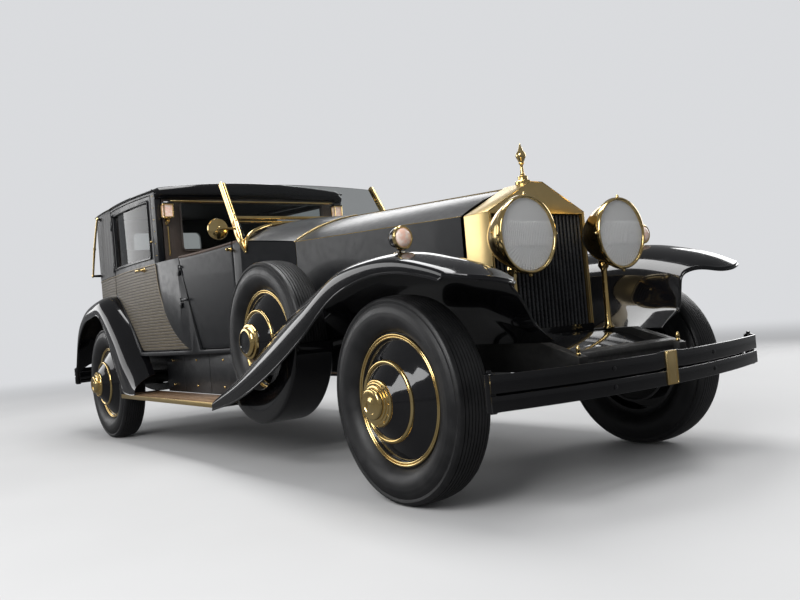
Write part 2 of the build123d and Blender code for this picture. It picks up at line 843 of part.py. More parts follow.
# Upper body: pillars, rear quarters and the back with its window
with BuildPart() as upper:
    add(walls)
    with BuildSketch(Plane.XY.offset(sill_z - 10)):
        with Locations((tail_x, 0)):
            Rectangle(8000, 3000)
    extrude(amount=belt_z + seat_gap - sill_z + 10, mode=Mode.SUBTRACT)
    with BuildSketch(Plane.XY.offset(sill_z)):
        with Locations((pillar_front_x + 1000, 0)):
            Rectangle(2000, 3000)
    extrude(amount=1500, mode=Mode.SUBTRACT)
    for hole in (rear_hole, mirror(rear_hole, about=Plane.XZ)):
        add(hole, mode=Mode.SUBTRACT)
    for leaf in body_high_leaves:
        add(leaf)
        add(mirror(leaf, about=Plane.XZ))
    with BuildSketch(cross_plane(tail_x - 40)):
        with Locations((0, 1500)):
            RectangleRounded(620, 230, 40)
    extrude(amount=120, mode=Mode.SUBTRACT)
write("upper_body", upper.part)

# Roof: crowned, its plan that of the walls
with BuildPart() as roof:
    with BuildSketch(Plane.XY.offset(rear_door_top + 20 + seat_gap)):
        add(coach_plan.sketch)
        offset(amount=8, mode=Mode.REPLACE)
        with Locations((pillar_front_x + 1012, 0)):
            Rectangle(2000, 3000, mode=Mode.SUBTRACT)
    extrude(amount=120)
    with BuildSketch(cross_plane(0)):
        with BuildLine():
            ThreePointArc((-900, roof_edge_z - 6), (0, roof_peak_z), (900, roof_edge_z - 6))
            Polyline((900, roof_edge_z - 6), (900, 1000), (-900, 1000), (-900, roof_edge_z - 6))
        make_face()
    extrude(amount=4000, both=True, mode=Mode.INTERSECT)
write("roof", roof.part)

# Doors
front_door = (walls & front_leaf) - above_scuttle.part
for leaf in front_door_leaves:
    front_door = front_door + leaf


def window_outline():
    Polyline(
        (window_front_x, window_bottom),
        (window_front_x, window_top),
        (window_rear_x, window_top),
        (window_rear_x, window_bottom),
        (window_front_x, window_bottom),
    )


window_hole = side_prism(window_outline, -side_in + 40, -side_out)
rear_door = (walls & rear_leaf) - window_hole
for leaf in rear_door_leaves:
    rear_door = rear_door + leaf


def door_knob(x, z):
    """A turned boss that stands out of the skin."""
    y = skin_y(x)
    return rod_between((x, -y + 20, z), (x, -y - 30, z), 11)


rear_handle_x = front_axle_x - 2915.0
rear_handle_z = 1212.0
lever_y = -skin_y(rear_handle_x) - 28
front_door = front_door + door_knob(front_axle_x - 1797.0, 1226.0)
rear_door = rear_door + door_knob(rear_handle_x, rear_handle_z)
rear_door = rear_door + rod_between((rear_handle_x + 8, lever_y, rear_handle_z),
                                    (rear_handle_x - 92, lever_y, rear_handle_z), 8)
front_leaf_solid = front_door.solids().sort_by(SortBy.VOLUME)[-1]
rear_leaf_solid = rear_door.solids().sort_by(SortBy.VOLUME)[-1]
write("front_door_right", front_leaf_solid)
write("front_door_left", mirror(front_leaf_solid, about=Plane.XZ))
write("rear_door_right", rear_leaf_solid)
write("rear_door_left", mirror(rear_leaf_solid, about=Plane.XZ))

# Door glass: a curved pane in the middle of the leaf's thickness
with BuildSketch() as pane_outer:
    add(coach_plan.sketch)
    offset(amount=-(wall - glass_thick) / 2, mode=Mode.REPLACE)
with BuildSketch() as pane_inner:
    add(coach_plan.sketch)
    offset(amount=-(wall + glass_thick) / 2, mode=Mode.REPLACE)
with BuildPart() as pane_ring:
    with BuildSketch(Plane.XY.offset(window_bottom - 20)):
        add(pane_outer.sketch)
        add(pane_inner.sketch, mode=Mode.SUBTRACT)
    extrude(amount=window_top - window_bottom + 40)
door_pane = (pane_ring.part & side_prism(window_outline, -side_in + 40, -side_out, seat_gap)).solids()[0]
write("rear_door_glass_right", door_pane)
write("rear_door_glass_left", mirror(door_pane, about=Plane.XZ))

# Division wall behind the driver, with its window; glass for it and for the back light
division_rear_x = pillar_front_x - 5 - division_thick
division_low = sill_z + floor_thick + seat_gap
division_high = rear_door_top + 20
with BuildPart() as division:
    with BuildSketch(cross_plane(division_rear_x)):
        with Locations((0, (division_low + division_high) / 2)):
            Rectangle(2 * division_half, division_high - division_low)
        with Locations((0, 1480)):
            RectangleRounded(1120, 320, 24, mode=Mode.SUBTRACT)
    extrude(amount=division_thick)
write("division_wall", division.part)
back_light_z = 1500.0
with BuildPart() as fixed_glass:
    with BuildSketch(cross_plane(division_rear_x + 12)):
        with Locations((0, 1480)):
            RectangleRounded(1120 - 2 * seat_gap, 320 - 2 * seat_gap, 24 - seat_gap)
    extrude(amount=glass_thick)
    with BuildSketch(cross_plane(tail_x + 16)):
        with Locations((0, back_light_z)):
            RectangleRounded(620 - 2 * seat_gap, 230 - 2 * seat_gap, 40 - seat_gap)
    extrude(amount=glass_thick)
write("cabin_glass", fixed_glass.part)

# Front wings: cross-sections along the car, each an arched sheet from the outer lip to the frame.
# Columns: distance behind the axle, crown height, edge height, lip height, inner shoulder height
wing_sheet = 8.0
wing_edge_y = 880.0
wing_crown_y = 700.0
wing_inner_y = 470.0
front_wing_rows = [
    (-440, 924, 898, 860, 694),
    (-350, 951, 926, 886, 700),
    (-150, 993, 968, 918, 760),
    (50, 1000, 972, 914, 772),
    (300, 986, 932, 850, 740),
    (620, 905, 775, 668, 690),
    (960, 766, 606, 508, 640),
    (1320, 588, 460, 380, 560),
    (1640, 440, 354, 316, 440),
]


def wing_section(x, points):
    """One section: outer lip, edge, crown, inner shoulder and the flat foot on the frame."""
    (lip_z, edge_y, edge_z, crown_y, crown_z, inner_y, inner_z, foot_y, foot_z) = points
    t = wing_sheet
    with BuildSketch(cross_plane(x)) as section:
        with BuildLine():
            Line((-edge_y, lip_z), (-edge_y, edge_z))
            ThreePointArc((-edge_y, edge_z), (-crown_y, crown_z), (-inner_y, inner_z))
            Polyline((-inner_y, inner_z), (-foot_y, foot_z), (-foot_y, foot_z - t), (-inner_y - t / 2, inner_z - t))
            ThreePointArc((-inner_y - t / 2, inner_z - t), (-crown_y, crown_z - t), (-edge_y + t, edge_z - t / 2))
            Polyline((-edge_y + t, edge_z - t / 2), (-edge_y + t, lip_z), (-edge_y, lip_z))
        make_face()
    return section.sketch


def loft_sections(maker, rows):
    """Ruled loft of a section maker through rows of the front wing's table."""
    sections = []
    for back, crown_z, edge_z, lip_z, inner_z in rows:
        x = front_axle_x - back
        foot_y = rail_y(x) + rail_width / 2 + seat_gap
        inner_y = max(wing_inner_y, foot_y + 30)
        foot_z = min(inner_z - 10, rail_top - 10)
        sections.append(
            maker(x, (lip_z, wing_edge_y, edge_z, wing_crown_y, crown_z, inner_y, inner_z, foot_y, foot_z))
        )
    with BuildPart() as lofted:
        loft(sections=sections, ruled=True)
    return lofted.part


front_wing_sheet = loft_sections(wing_section, front_wing_rows)

# Rounded nose of the wing, as arched sheets that narrow forward. Columns: distance ahead of the axle,
# edge y, edge height, crown y, crown height, inner y, inner height
wing_nose_rows = [
    (440, 880, 898, 700, 924, 546, 861),
    (505, 878, 868, 700, 897, 572, 858),
    (556, 840, 856, 700, 869, 604, 852),
    (588, 775, 847, 705, 851, 645, 846),
]


def nose_section(x, edge_y, edge_z, crown_y, crown_z, inner_y, inner_z):
    t = wing_sheet
    with BuildSketch(cross_plane(x)) as section:
        with BuildLine():
            ThreePointArc((-edge_y, edge_z), (-crown_y, crown_z), (-inner_y, inner_z))
            Line((-inner_y, inner_z), (-inner_y, inner_z - t))
            ThreePointArc((-inner_y, inner_z - t), (-crown_y, crown_z - t), (-edge_y, edge_z - t))
            Line((-edge_y, edge_z - t), (-edge_y, edge_z))
        make_face()
    return section.sketch


with BuildPart() as wing_nose:
    loft(sections=[nose_section(front_axle_x + row[0], *row[1:]) for row in wing_nose_rows], ruled=True)

# Well for the spare wheel, let into the wing
well_gap = 8.0
well_wall = 8.0
well_in = spare_y - tyre_width / 2 - well_gap
well_out = spare_y + tyre_width / 2 + 40.0
with BuildPart() as well_hole:
    with BuildSketch(side_plane(-well_in)):
        with Locations((spare_x, spare_z)):
            Circle(tyre_radius + seat_gap)
    extrude(amount=well_out - well_in)
    with BuildSketch(side_plane(-well_out)):
        with Locations((spare_x, spare_z)):
            Circle(hub_flange_radius + 34)
    extrude(amount=2 * well_wall)
    with BuildSketch(side_plane(-well_out)):
        with Locations((spare_x, spare_z)):
            Circle(hub_flange_radius + 10)
    extrude(amount=40)
with BuildPart() as well_body:
    with BuildSketch(side_plane(-well_in + well_wall)):
        with Locations((spare_x, spare_z)):
            Circle(tyre_radius + seat_gap + well_wall)
    extrude(amount=well_out - well_in + 2 * well_wall)


def above_wing(x, points):
    """The space over one wing section, up to a fixed height."""
    (lip_z, edge_y, edge_z, crown_y, crown_z, inner_y, inner_z, foot_y, foot_z) = points
    with BuildSketch(cross_plane(x)) as section:
        with BuildLine():
            Line((-edge_y, 1500), (-edge_y, edge_z))
            ThreePointArc((-edge_y, edge_z), (-crown_y, crown_z), (-inner_y, inner_z))
            Polyline((-inner_y, inner_z), (-foot_y, foot_z), (-foot_y, 1500), (-edge_y, 1500))
        make_face()
    return section.sketch


over_wing = loft_sections(above_wing, front_wing_rows[3:])
well = well_body.part - over_wing
front_wing = front_wing_sheet + wing_nose.part + well - well_hole.part
front_wing_right = front_wing.solids().sort_by(SortBy.VOLUME)[-1]
write("front_fender_right", front_wing_right)
write("front_fender_left", mirror(front_wing_right, about=Plane.XZ))

# Apron between the frame horns, under the radiator: it falls forward in a round sweep
horn_half = rail_nose_half - rail_width / 2 - seat_gap
apron_mid_x = rail_front_x - 275.0
apron_nose_x = rail_front_x - 115.0
apron_slant = 4.0
with BuildPart() as front_apron:
    with BuildSketch(side_plane(horn_half)):
        with BuildLine():
            ThreePointArc((radiator_x + 4, 609), (apron_mid_x, 592), (apron_nose_x, 528))
            Line((apron_nose_x, 528), (apron_nose_x - apron_slant, 522))
            ThreePointArc(
                (apron_nose_x - apron_slant, 522), (apron_mid_x - apron_slant, 586), (radiator_x + 4, 603)
            )
            Line((radiator_x + 4, 603), (radiator_x + 4, 609))
        make_face()
    extrude(amount=2 * horn_half)
write("front_apron", front_apron.part)

# Rear wings. Columns: distance behind the front axle, inner height, mid y, mid height, edge y,
# edge height, lip height
rear_wing_rows = [
    (3016, 482, 800, 440, 856, 392, 351),
    (3132, 628, 802, 560, 858, 404, 351),
    (3250, 765, 806, 690, 860, 470, 380),
    (3388, 880, 806, 830, 862, 690, 560),
    (3550, 1000, 802, 972, 862, 880, 800),
    (3705, 1078, 790, 1060, 860, 1002, 930),
    (3900, 1082, 785, 1064, 860, 1004, 930),
    (4153, 1024, 780, 1004, 858, 944, 870),
    (4346, 905, 770, 884, 856, 790, 700),
    (4510, 570, 760, 540, 850, 470, 405),
]
with BuildPart() as coach_clear:
    with BuildSketch(Plane.XY.offset(200)):
        add(coach_plan.sketch)
        offset(amount=seat_gap, mode=Mode.REPLACE)
    extrude(amount=1520)


def rear_section(x, inner_z, mid_y, mid_z, edge_y, edge_z, lip_z):
    t = wing_sheet
    inner_y = 600
    with BuildSketch(cross_plane(x)) as section:
        with BuildLine():
            Line((-edge_y, lip_z), (-edge_y, edge_z))
            ThreePointArc((-edge_y, edge_z), (-mid_y, mid_z), (-(quarter_half - 4), inner_z))
            Polyline((-(quarter_half - 4), inner_z), (-inner_y, inner_z), (-inner_y, inner_z - t),
                     (-(quarter_half - 4), inner_z - t))
            ThreePointArc((-(quarter_half - 4), inner_z - t), (-mid_y + 3, mid_z - t), (-edge_y + t, edge_z - t))
            Polyline((-edge_y + t, edge_z - t), (-edge_y + t, lip_z), (-edge_y, lip_z))
        make_face()
    return section.sketch


with BuildPart() as rear_wing_sheet:
    loft(sections=[rear_section(front_axle_x - row[0], *row[1:]) for row in rear_wing_rows], ruled=True)
rear_wing = rear_wing_sheet.part - coach_clear.part
write("rear_fenders", both_sides(rear_wing.solids().sort_by(SortBy.VOLUME)[-1]))

# Running boards with the apron that hangs under the sills
board_top = 350.0
board_thick = 28.0
board_in = 600.0
board_out = 862.0
board_front_x = front_axle_x - 1645.0
board_rear_x = front_axle_x - 3290.0
apron_front_x = front_axle_x - 1685.0
apron_rear_x = front_axle_x - 3010.0
with BuildPart() as board:
    with Locations(((board_front_x + board_rear_x) / 2, -(board_in + board_out) / 2, board_top - board_thick / 2)):
        Box(board_front_x - board_rear_x, board_out - board_in, board_thick)
    with Locations(((apron_front_x + apron_rear_x) / 2, -board_in - 4, (board_top + sill_z) / 2 - 5)):
        Box(apron_front_x - apron_rear_x, 8, sill_z - board_top + 10 - 2 * seat_gap)
write("running_boards", both_sides(board.part))

# Headlamps: deep bowls on posts that stand on the frame
lamp_x = front_axle_x + 318.0
lamp_y = 298.0
lamp_z = 1040.0
lamp_rim = 162.0
lamp_glass = 140.0
lamp_depth = 205.0
post_x = front_axle_x + 200.0
post_y = 292.0
with BuildPart() as lamp:
    with BuildSketch(Plane(origin=(0, -lamp_y, lamp_z), x_dir=(1, 0, 0), z_dir=(0, -1, 0))):
        with BuildLine():
            Polyline((lamp_x, 0), (lamp_x, lamp_rim - 6), (lamp_x - 6, lamp_rim), (lamp_x - 26, lamp_rim),
                     (lamp_x - 32, lamp_rim - 8))
            ThreePointArc((lamp_x - 32, lamp_rim - 8), (lamp_x - 130, 112), (lamp_x - lamp_depth, 34))
            Polyline((lamp_x - lamp_depth, 34), (lamp_x - lamp_depth, 0), (lamp_x, 0))
        make_face()
    revolve(axis=Axis((0, -lamp_y, lamp_z), (1, 0, 0)))
    with BuildSketch(Plane.XY.offset(rail_top + seat_gap)):
        with Locations((post_x, -post_y)):
            Circle(17)
    extrude(amount=lamp_z - rail_top - 60)
    with BuildSketch(cross_plane(lamp_x - 14)):
        with Locations((-lamp_y, lamp_z)):
            Circle(lamp_glass + seat_gap)
    extrude(amount=40, mode=Mode.SUBTRACT)
write("headlamps", both_sides(lamp.part))
with BuildPart() as lens:
    with BuildSketch(cross_plane(lamp_x - 14 + seat_gap)):
        with Locations((-lamp_y, lamp_z)):
            Circle(lamp_glass)
    extrude(amount=10)
write("lamp_lenses", both_sides(lens.part))

# Side lamps on the front wings
side_lamp_x = front_axle_x + 55.0
side_lamp_y = 768.0
side_lamp_z = 1060.0
with BuildPart() as side_lamp:
    with BuildSketch(Plane(origin=(0, -side_lamp_y, side_lamp_z), x_dir=(1, 0, 0), z_dir=(0, -1, 0))):
        with BuildLine():
            Polyline((side_lamp_x + 36, 0), (side_lamp_x + 36, 40), (side_lamp_x + 30, 47), (side_lamp_x + 20, 47))
            ThreePointArc((side_lamp_x + 20, 47), (side_lamp_x - 20, 36), (side_lamp_x - 44, 0))
            Line((side_lamp_x - 44, 0), (side_lamp_x + 36, 0))
        make_face()
    revolve(axis=Axis((0, -side_lamp_y, side_lamp_z), (1, 0, 0)))
    with BuildSketch(Plane.XY.offset(986)):
        with Locations((side_lamp_x, -side_lamp_y)):
            Circle(24)
    extrude(amount=50)
side_lamp_right = (side_lamp.part - front_wing_sheet.moved(Location((0, 0, seat_gap)))).solids().sort_by(Axis.Z)[-1]
write("fender_lamps", both_sides(side_lamp_right))

# Bumpers: two bowed bars in front of a third, joined by a pin at each end and held by two irons
def make_bumper(face_x, outward, end_back, iron_x, iron_y):
    """outward is +1 for the front bumper and -1 for the rear one."""
    half = 836.0
    def bow(thick, back, low, high, end_half):
        with BuildPart() as bar:
            with BuildSketch(Plane.XY.offset(low)):
                with BuildLine():
                    ThreePointArc((face_x - outward * (end_back + back), -end_half), (face_x - outward * back, 0),
                                  (face_x - outward * (end_back + back), end_half))
                    Line((face_x - outward * (end_back + back), end_half),
                         (face_x - outward * (end_back + back + thick), end_half))
                    ThreePointArc((face_x - outward * (end_back + back + thick), end_half),
                                  (face_x - outward * (back + thick), 0),
                                  (face_x - outward * (end_back + back + thick), -end_half))
                    Line((face_x - outward * (end_back + back + thick), -end_half),
                         (face_x - outward * (end_back + back), -end_half))
                make_face()
            extrude(amount=high - low)
        return bar.part
    with BuildPart() as bumper:
        add(bow(10, 6, 464, 528, half))
        add(bow(10, 6, 400, 456, half))
        add(bow(10, 56, 436, 496, half - 24))
        with BuildSketch(Plane.XY.offset(394)):
            for side in (-1, 1):
                with Locations((face_x - outward * (end_back + 30), side * (half - 16))):
                    Rectangle(64, 22)
        extrude(amount=140)
        for side in (-1, 1):
            with BuildSketch(cross_plane(iron_x)):
                with Locations((side * iron_y, 500)):
                    Rectangle(38, 34)
            extrude(amount=face_x - outward * 70 - iron_x)
        with BuildSketch(cross_plane(face_x)):
            with Locations((0, 467)):
                RectangleRounded(68, 132, 8)
        extrude(amount=-outward * 62)
    return bumper.part


front_bumper = make_bumper(front_axle_x + front_overhang, 1, 125, rail_front_x + seat_gap, rail_nose_half)
write("front_bumper", front_bumper)
rear_bumper = make_bumper(-overall_length / 2, -1, 125, rail_rear_x - seat_gap, rail_half)
write("rear_bumper", rear_bumper)

# Fuel tank between the rails
tank_half = rail_half - spring_width / 2 - running_gap
tank_length = 230.0
tank_x = rail_rear_x + 60 + cross_radius + seat_gap + tank_length / 2
with BuildPart() as tank:
    with BuildSketch(side_plane(tank_half)):
        with Locations((tank_x, rail_bottom + 20)):
            RectangleRounded(tank_length, 200, 60)
    extrude(amount=2 * tank_half)
write("fuel_tank", tank.part)

# Windscreen: two raked posts with a double rail between them, round mirrors, two panes
post_low = (front_axle_x - 1738.0, 575.0, 1272.6)
rake = 285.0 / 455.0
lean = 20.0 / 455.0
screen_top_z = 1650.0
post_radius = 14.0


def post_point(z, side=-1):
    """A point on a windscreen post's middle line at one height."""
    rise = z - post_low[2]
    return (post_low[0] - rake * rise, side * (post_low[1] - lean * rise), z)


mirror_z = 1362.0
mirror_y = 700.0
screen = rod_between(post_point(1389, -1), post_point(1389, 1), 8)
screen = screen + rod_between(post_point(1418, -1), post_point(1418, 1), 8)
for side in (-1, 1):
    screen = screen + rod_between(post_point(post_low[2] - 20, side), post_point(screen_top_z, side), post_radius)
    arm = post_point(mirror_z, side)
    screen = screen + rod_between(arm, (arm[0], side * mirror_y, mirror_z), 7)
    screen = screen + rod_between((arm[0] - 9, side * mirror_y, mirror_z), (arm[0] + 9, side * mirror_y, mirror_z), 76)
rake_angle = degrees(atan2(285.0, 455.0))
screen_plane = Plane(origin=post_point(1418, -1)[0:1] + (0, 1418), x_dir=(0, 1, 0),
                     z_dir=(cos(radians(rake_angle)), 0, sin(radians(rake_angle))))
slope = sqrt(285.0**2 + 455.0**2) / 455.0


def up(z):
    """Distance up the screen plane for a height."""
    return (z - 1418.0) * slope


def screen_half(z):
    return post_low[1] - lean * (z - post_low[2]) - post_radius - seat_gap


# Curved bracket in the plane of the screen, from each post's foot up to the rails
with BuildPart() as screen_bracket:
    with BuildSketch(screen_plane):
        with BuildLine():
            ThreePointArc((-562, up(1292)), (-400, up(1364)), (0, up(1392)))
            ThreePointArc((0, up(1392)), (400, up(1364)), (562, up(1292)))
            Line((562, up(1292)), (548, up(1276)))
            ThreePointArc((548, up(1276)), (390, up(1349)), (0, up(1383)))
            ThreePointArc((0, up(1383)), (-390, up(1349)), (-548, up(1276)))
            Line((-548, up(1276)), (-562, up(1292)))
        make_face()
    extrude(amount=4, both=True)
screen = screen + screen_bracket.part
screen = screen & above_scuttle.part.moved(Location((0, 0, seat_gap)))
write("windscreen_frame", screen)


with BuildPart() as screen_glass:
    with BuildSketch(screen_plane):
        with BuildLine():
            Polyline((screen_half(1638), up(1638)), (screen_half(1427), up(1427)), (-screen_half(1427), up(1427)),
                     (-screen_half(1638), up(1638)))
            ThreePointArc((-screen_half(1638), up(1638)), (0, up(1659)), (screen_half(1638), up(1638)))
        make_face()
    extrude(amount=glass_thick / 2, both=True)
write("windscreen_glass", screen_glass.part)

# Seats, kept inside the walls
with BuildPart() as cabin_space:
    with BuildSketch(Plane.XY.offset(sill_z + floor_thick + seat_gap)):
        add(coach_inside.sketch)
        offset(amount=-seat_gap, mode=Mode.REPLACE)
    extrude(amount=1000)
seat_low = sill_z + floor_thick + seat_gap


def bench(half, cushion_x, cushion_length, cushion_height, back_x, back_length, back_height):
    """A bench seat: a rounded cushion and a rounded back on one plinth."""
    with BuildPart() as seat:
        with BuildSketch(side_plane(half)):
            with Locations((cushion_x, seat_low + cushion_height / 2)):
                RectangleRounded(cushion_length, cushion_height, 55)
            with Locations((back_x, seat_low + back_height / 2)):
                RectangleRounded(back_length, back_height, 44)
            with Locations(((cushion_x + back_x) / 2, seat_low + 60)):
                Rectangle(cushion_x - back_x, 120)
        extrude(amount=2 * half)
    return seat.part


write("front_seat", bench(620, front_axle_x - 2360, 460, 300, front_axle_x - 2590, 100, 620))
rear_bench = bench(540, front_axle_x - 4040, 560, 360, front_axle_x - 4310, 180, 840)
write("rear_seat", (rear_bench & cabin_space.part).solids()[0])

# Steering wheel and column, on the left
steer_hub = (front_axle_x - 2075.0, 330.0, 1225.0)
column_foot = (front_axle_x - 1500.0, 330.0, 640.0)
column_dir = Vector(*steer_hub) - Vector(*column_foot)
wheel_plane = Plane(origin=Vector(*steer_hub), z_dir=column_dir)
with BuildPart() as steering:
    with BuildSketch(wheel_plane.offset(-6)):
        Circle(222)
        Circle(200, mode=Mode.SUBTRACT)
        with PolarLocations(100, 4):
            Rectangle(210, 16)
        Circle(36)
    extrude(amount=20)
steering_part = steering.part + rod_between(column_foot, steer_hub, 19)
with BuildPart() as column_trim:
    with BuildSketch(Plane.XY.offset(sill_z + cowl_wall + seat_gap - 200)):
        with Locations((column_foot[0], 0)):
            Rectangle(600, 2000)
    extrude(amount=200)
steering_part = steering_part - column_trim.part
write("steering_wheel", steering_part)

# Carriage lamps on the division wall
lantern_x = division_rear_x + division_thick + seat_gap
lantern_y = 648.0
with BuildPart() as lantern:
    with BuildSketch(Plane.XY.offset(1553)):
        with Locations((lantern_x + 44, -lantern_y)):
            RectangleRounded(60, 72, 6)
    extrude(amount=92)
    with BuildSketch(Plane.XY.offset(1645)):
        with Locations((lantern_x + 44, -lantern_y)):
            RectangleRounded(66, 80, 6)
    extrude(amount=7)
    with BuildSketch(Plane.XY.offset(1652)):
        with Locations((lantern_x + 44, -lantern_y)):
            Rectangle(60, 72)
    extrude(amount=20, taper=45)
    with BuildSketch(Plane.XY.offset(1553)):
        with Locations((lantern_x + 44, -lantern_y)):
            Circle(26)
    extrude(amount=-34, taper=28)
    with Locations((lantern_x + 8, -lantern_y, 1560)):
        Box(16, 40, 100)
write("carriage_lamps", both_sides(lantern.part))

# Landau irons on the rear quarters
top_boss_x = front_axle_x - 4065.0
low_boss_x = front_axle_x - 4235.0
top_boss = (top_boss_x, -(skin_y(top_boss_x) + seat_gap), 1690.0)
low_boss = (low_boss_x, -(skin_y(low_boss_x) + seat_gap), 1280.0)
landau = rod_between((top_boss[0], top_boss[1] + 10, top_boss[2]), (top_boss[0], top_boss[1] - 40, top_boss[2]), 14)
landau = landau + rod_between((low_boss[0], low_boss[1] + 10, low_boss[2]), (low_boss[0], low_boss[1] - 84, low_boss[2]), 14)
landau = landau + rod_between((top_boss[0], top_boss[1] - 32, top_boss[2]), (low_boss[0], low_boss[1] - 74, low_boss[2]), 8)
landau = landau - coach_clear.part
write("landau_irons", both_sides(landau.solids().sort_by(SortBy.VOLUME)[-1]))
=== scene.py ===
"""Looks of an open-drive town car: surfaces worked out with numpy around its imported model.

Lengths are millimetres in the arrays and become metres in the meshes. +X forward, +Y left, +Z up.
"""
from collections import namedtuple
import json
import math

import bmesh
import bpy
import numpy as np
from mathutils import Matrix, Quaternion, Vector

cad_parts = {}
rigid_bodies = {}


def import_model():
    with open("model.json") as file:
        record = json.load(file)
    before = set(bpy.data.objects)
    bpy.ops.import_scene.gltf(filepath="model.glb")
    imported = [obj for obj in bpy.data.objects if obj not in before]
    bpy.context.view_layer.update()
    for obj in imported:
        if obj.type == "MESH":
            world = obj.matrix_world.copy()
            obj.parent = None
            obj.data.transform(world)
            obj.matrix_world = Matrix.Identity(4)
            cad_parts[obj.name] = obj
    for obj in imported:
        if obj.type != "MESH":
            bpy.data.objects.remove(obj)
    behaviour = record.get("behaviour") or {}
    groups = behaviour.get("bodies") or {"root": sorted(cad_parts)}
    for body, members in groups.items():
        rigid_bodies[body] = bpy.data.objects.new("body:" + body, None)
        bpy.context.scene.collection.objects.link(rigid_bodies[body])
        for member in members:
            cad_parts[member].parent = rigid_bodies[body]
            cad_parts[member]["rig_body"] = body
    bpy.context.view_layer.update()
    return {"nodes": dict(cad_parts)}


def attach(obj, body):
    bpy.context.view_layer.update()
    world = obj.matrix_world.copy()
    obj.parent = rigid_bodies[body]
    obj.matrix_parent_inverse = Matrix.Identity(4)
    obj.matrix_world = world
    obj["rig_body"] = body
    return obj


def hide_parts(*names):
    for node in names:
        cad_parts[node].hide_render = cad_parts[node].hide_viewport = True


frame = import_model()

MM = 0.001
SIDES = ((-1, "right"), (1, "left"))

# Places along the car
FRONT_AXLE, REAR_AXLE = 1995.0, -1726.0
BONNET_FRONT, BONNET_REAR = 1912.0, 651.0
COWL_FRONT = 645.0
COACH_X = 295.0  # back of the cowl, where the open compartment begins
PILLAR_X = -717.0
HINGE_X = -1710.0  # rear edge of the rear doors
BEND_X = -2275.0  # where the corner of the tail begins
TAIL_X = -2425.0

# Heights
WHEEL_Z = 419.0
SILL = 615.0
DOOR_LOW = 646.0
BELT = 1240.0
ROOF_LOW, ROOF_TOP = 1722.0, 1792.0
TAIL_RISE, RISE_RUN = 58.0, 1700.0  # how much the roof's edge climbs towards the tail, and over what length

# Half-widths
HALF_TRACK = 750.0
RAIL_HALF, RAIL_NOSE_HALF = 420.0, 320.0
HINGE_HALF, BEND_HALF, TAIL_HALF = 704.0, 640.0, 470.0
SKIRT_IN = 20.0  # how far the side draws in at the sill

SPARE_X, SPARE_HALF, SPARE_Z = 755.0, 668.0, 682.0
FRONT_DOOR_HINGE = (-369.0, 724.57)
REAR_DOOR_HINGE = (-1704.0, 712.84)
BACKDROP = (0.70, 0.71, 0.73)
DUST_COLOUR = (0.30, 0.28, 0.25)

Grid = namedtuple("Grid", "points material wrap keep", defaults=("", None))


# Arithmetic on whole arrays

def unit(vectors):
    return vectors / np.maximum(np.linalg.norm(vectors, axis=-1, keepdims=True), 1e-12)


def arc_through(start, middle, end, share):
    """Points of the circle through three points of a plane, at shares 0 to 1 of the sweep."""
    start, middle, end = (np.asarray(p, float) for p in (start, middle, end))
    cx, cy, radius = circle_through(start, middle, end)
    centre = np.stack([cx, cy], -1)
    angles = [np.arctan2((p - centre)[..., 1], (p - centre)[..., 0]) for p in (start, middle, end)]
    sweep = (angles[2] - angles[0]) % (2 * np.pi)
    to_middle = (angles[1] - angles[0]) % (2 * np.pi)
    sweep = np.where(to_middle > sweep, sweep - 2 * np.pi, sweep)
    turn = angles[0][..., None] + sweep[..., None] * np.asarray(share)
    ring = np.stack([np.cos(turn), np.sin(turn)], -1)
    return centre[..., None, :] + radius[..., None, None] * ring


def circle_through(start, middle, end):
    """Centre and radius of the circle through three points of a plane."""
    a, b, c = (np.sum(p * p, -1) for p in (start, middle, end))
    d = 2 * (start[..., 0] * (middle[..., 1] - end[..., 1]) + middle[..., 0] * (end[..., 1] - start[..., 1])
             + end[..., 0] * (start[..., 1] - middle[..., 1]))
    cx = (a * (middle[..., 1] - end[..., 1]) + b * (end[..., 1] - start[..., 1])
          + c * (start[..., 1] - middle[..., 1])) / d
    cy = (a * (end[..., 0] - middle[..., 0]) + b * (start[..., 0] - end[..., 0])
          + c * (middle[..., 0] - start[..., 0])) / d
    return cx, cy, np.hypot(start[..., 0] - cx, start[..., 1] - cy)


def smooth_through(knots, values, at):
    """Cubic pieces through the values, each slope the mean of the chords beside its knot."""
    order = np.argsort(knots)
    knots, values = np.asarray(knots, float)[order], np.asarray(values, float)[order]
    tail = (1,) * (values.ndim - 1)
    gaps = np.diff(knots).reshape(-1, *tail)
    chords = np.diff(values, axis=0) / gaps
    slopes = np.concatenate([chords[:1], (chords[1:] + chords[:-1]) / 2, chords[-1:]])
    i = np.clip(np.searchsorted(knots, at, side="right") - 1, 0, len(knots) - 2)
    t = ((at - knots[i]) / (knots[i + 1] - knots[i])).reshape(-1, *tail)
    gap = gaps[i]
    return ((2 * t**3 - 3 * t**2 + 1) * values[i] + (t**3 - 2 * t**2 + t) * gap * slopes[i]
            + (3 * t**2 - 2 * t**3) * values[i + 1] + (t**3 - t**2) * gap * slopes[i + 1])


def plan_arc(start, middle, end, x):
    """Half-width at x on the plan circle through three points."""
    pts = [np.array(p, float) for p in (start, middle, end)]
    rows = np.array([2 * (pts[1] - pts[0]), 2 * (pts[2] - pts[0])])
    rhs = np.array([pts[1] @ pts[1] - pts[0] @ pts[0], pts[2] @ pts[2] - pts[0] @ pts[0]])
    centre = np.linalg.solve(rows, rhs)
    radius = np.linalg.norm(pts[0] - centre)
    return centre[1] + np.sqrt(np.maximum(radius**2 - (x - centre[0])**2, 0))


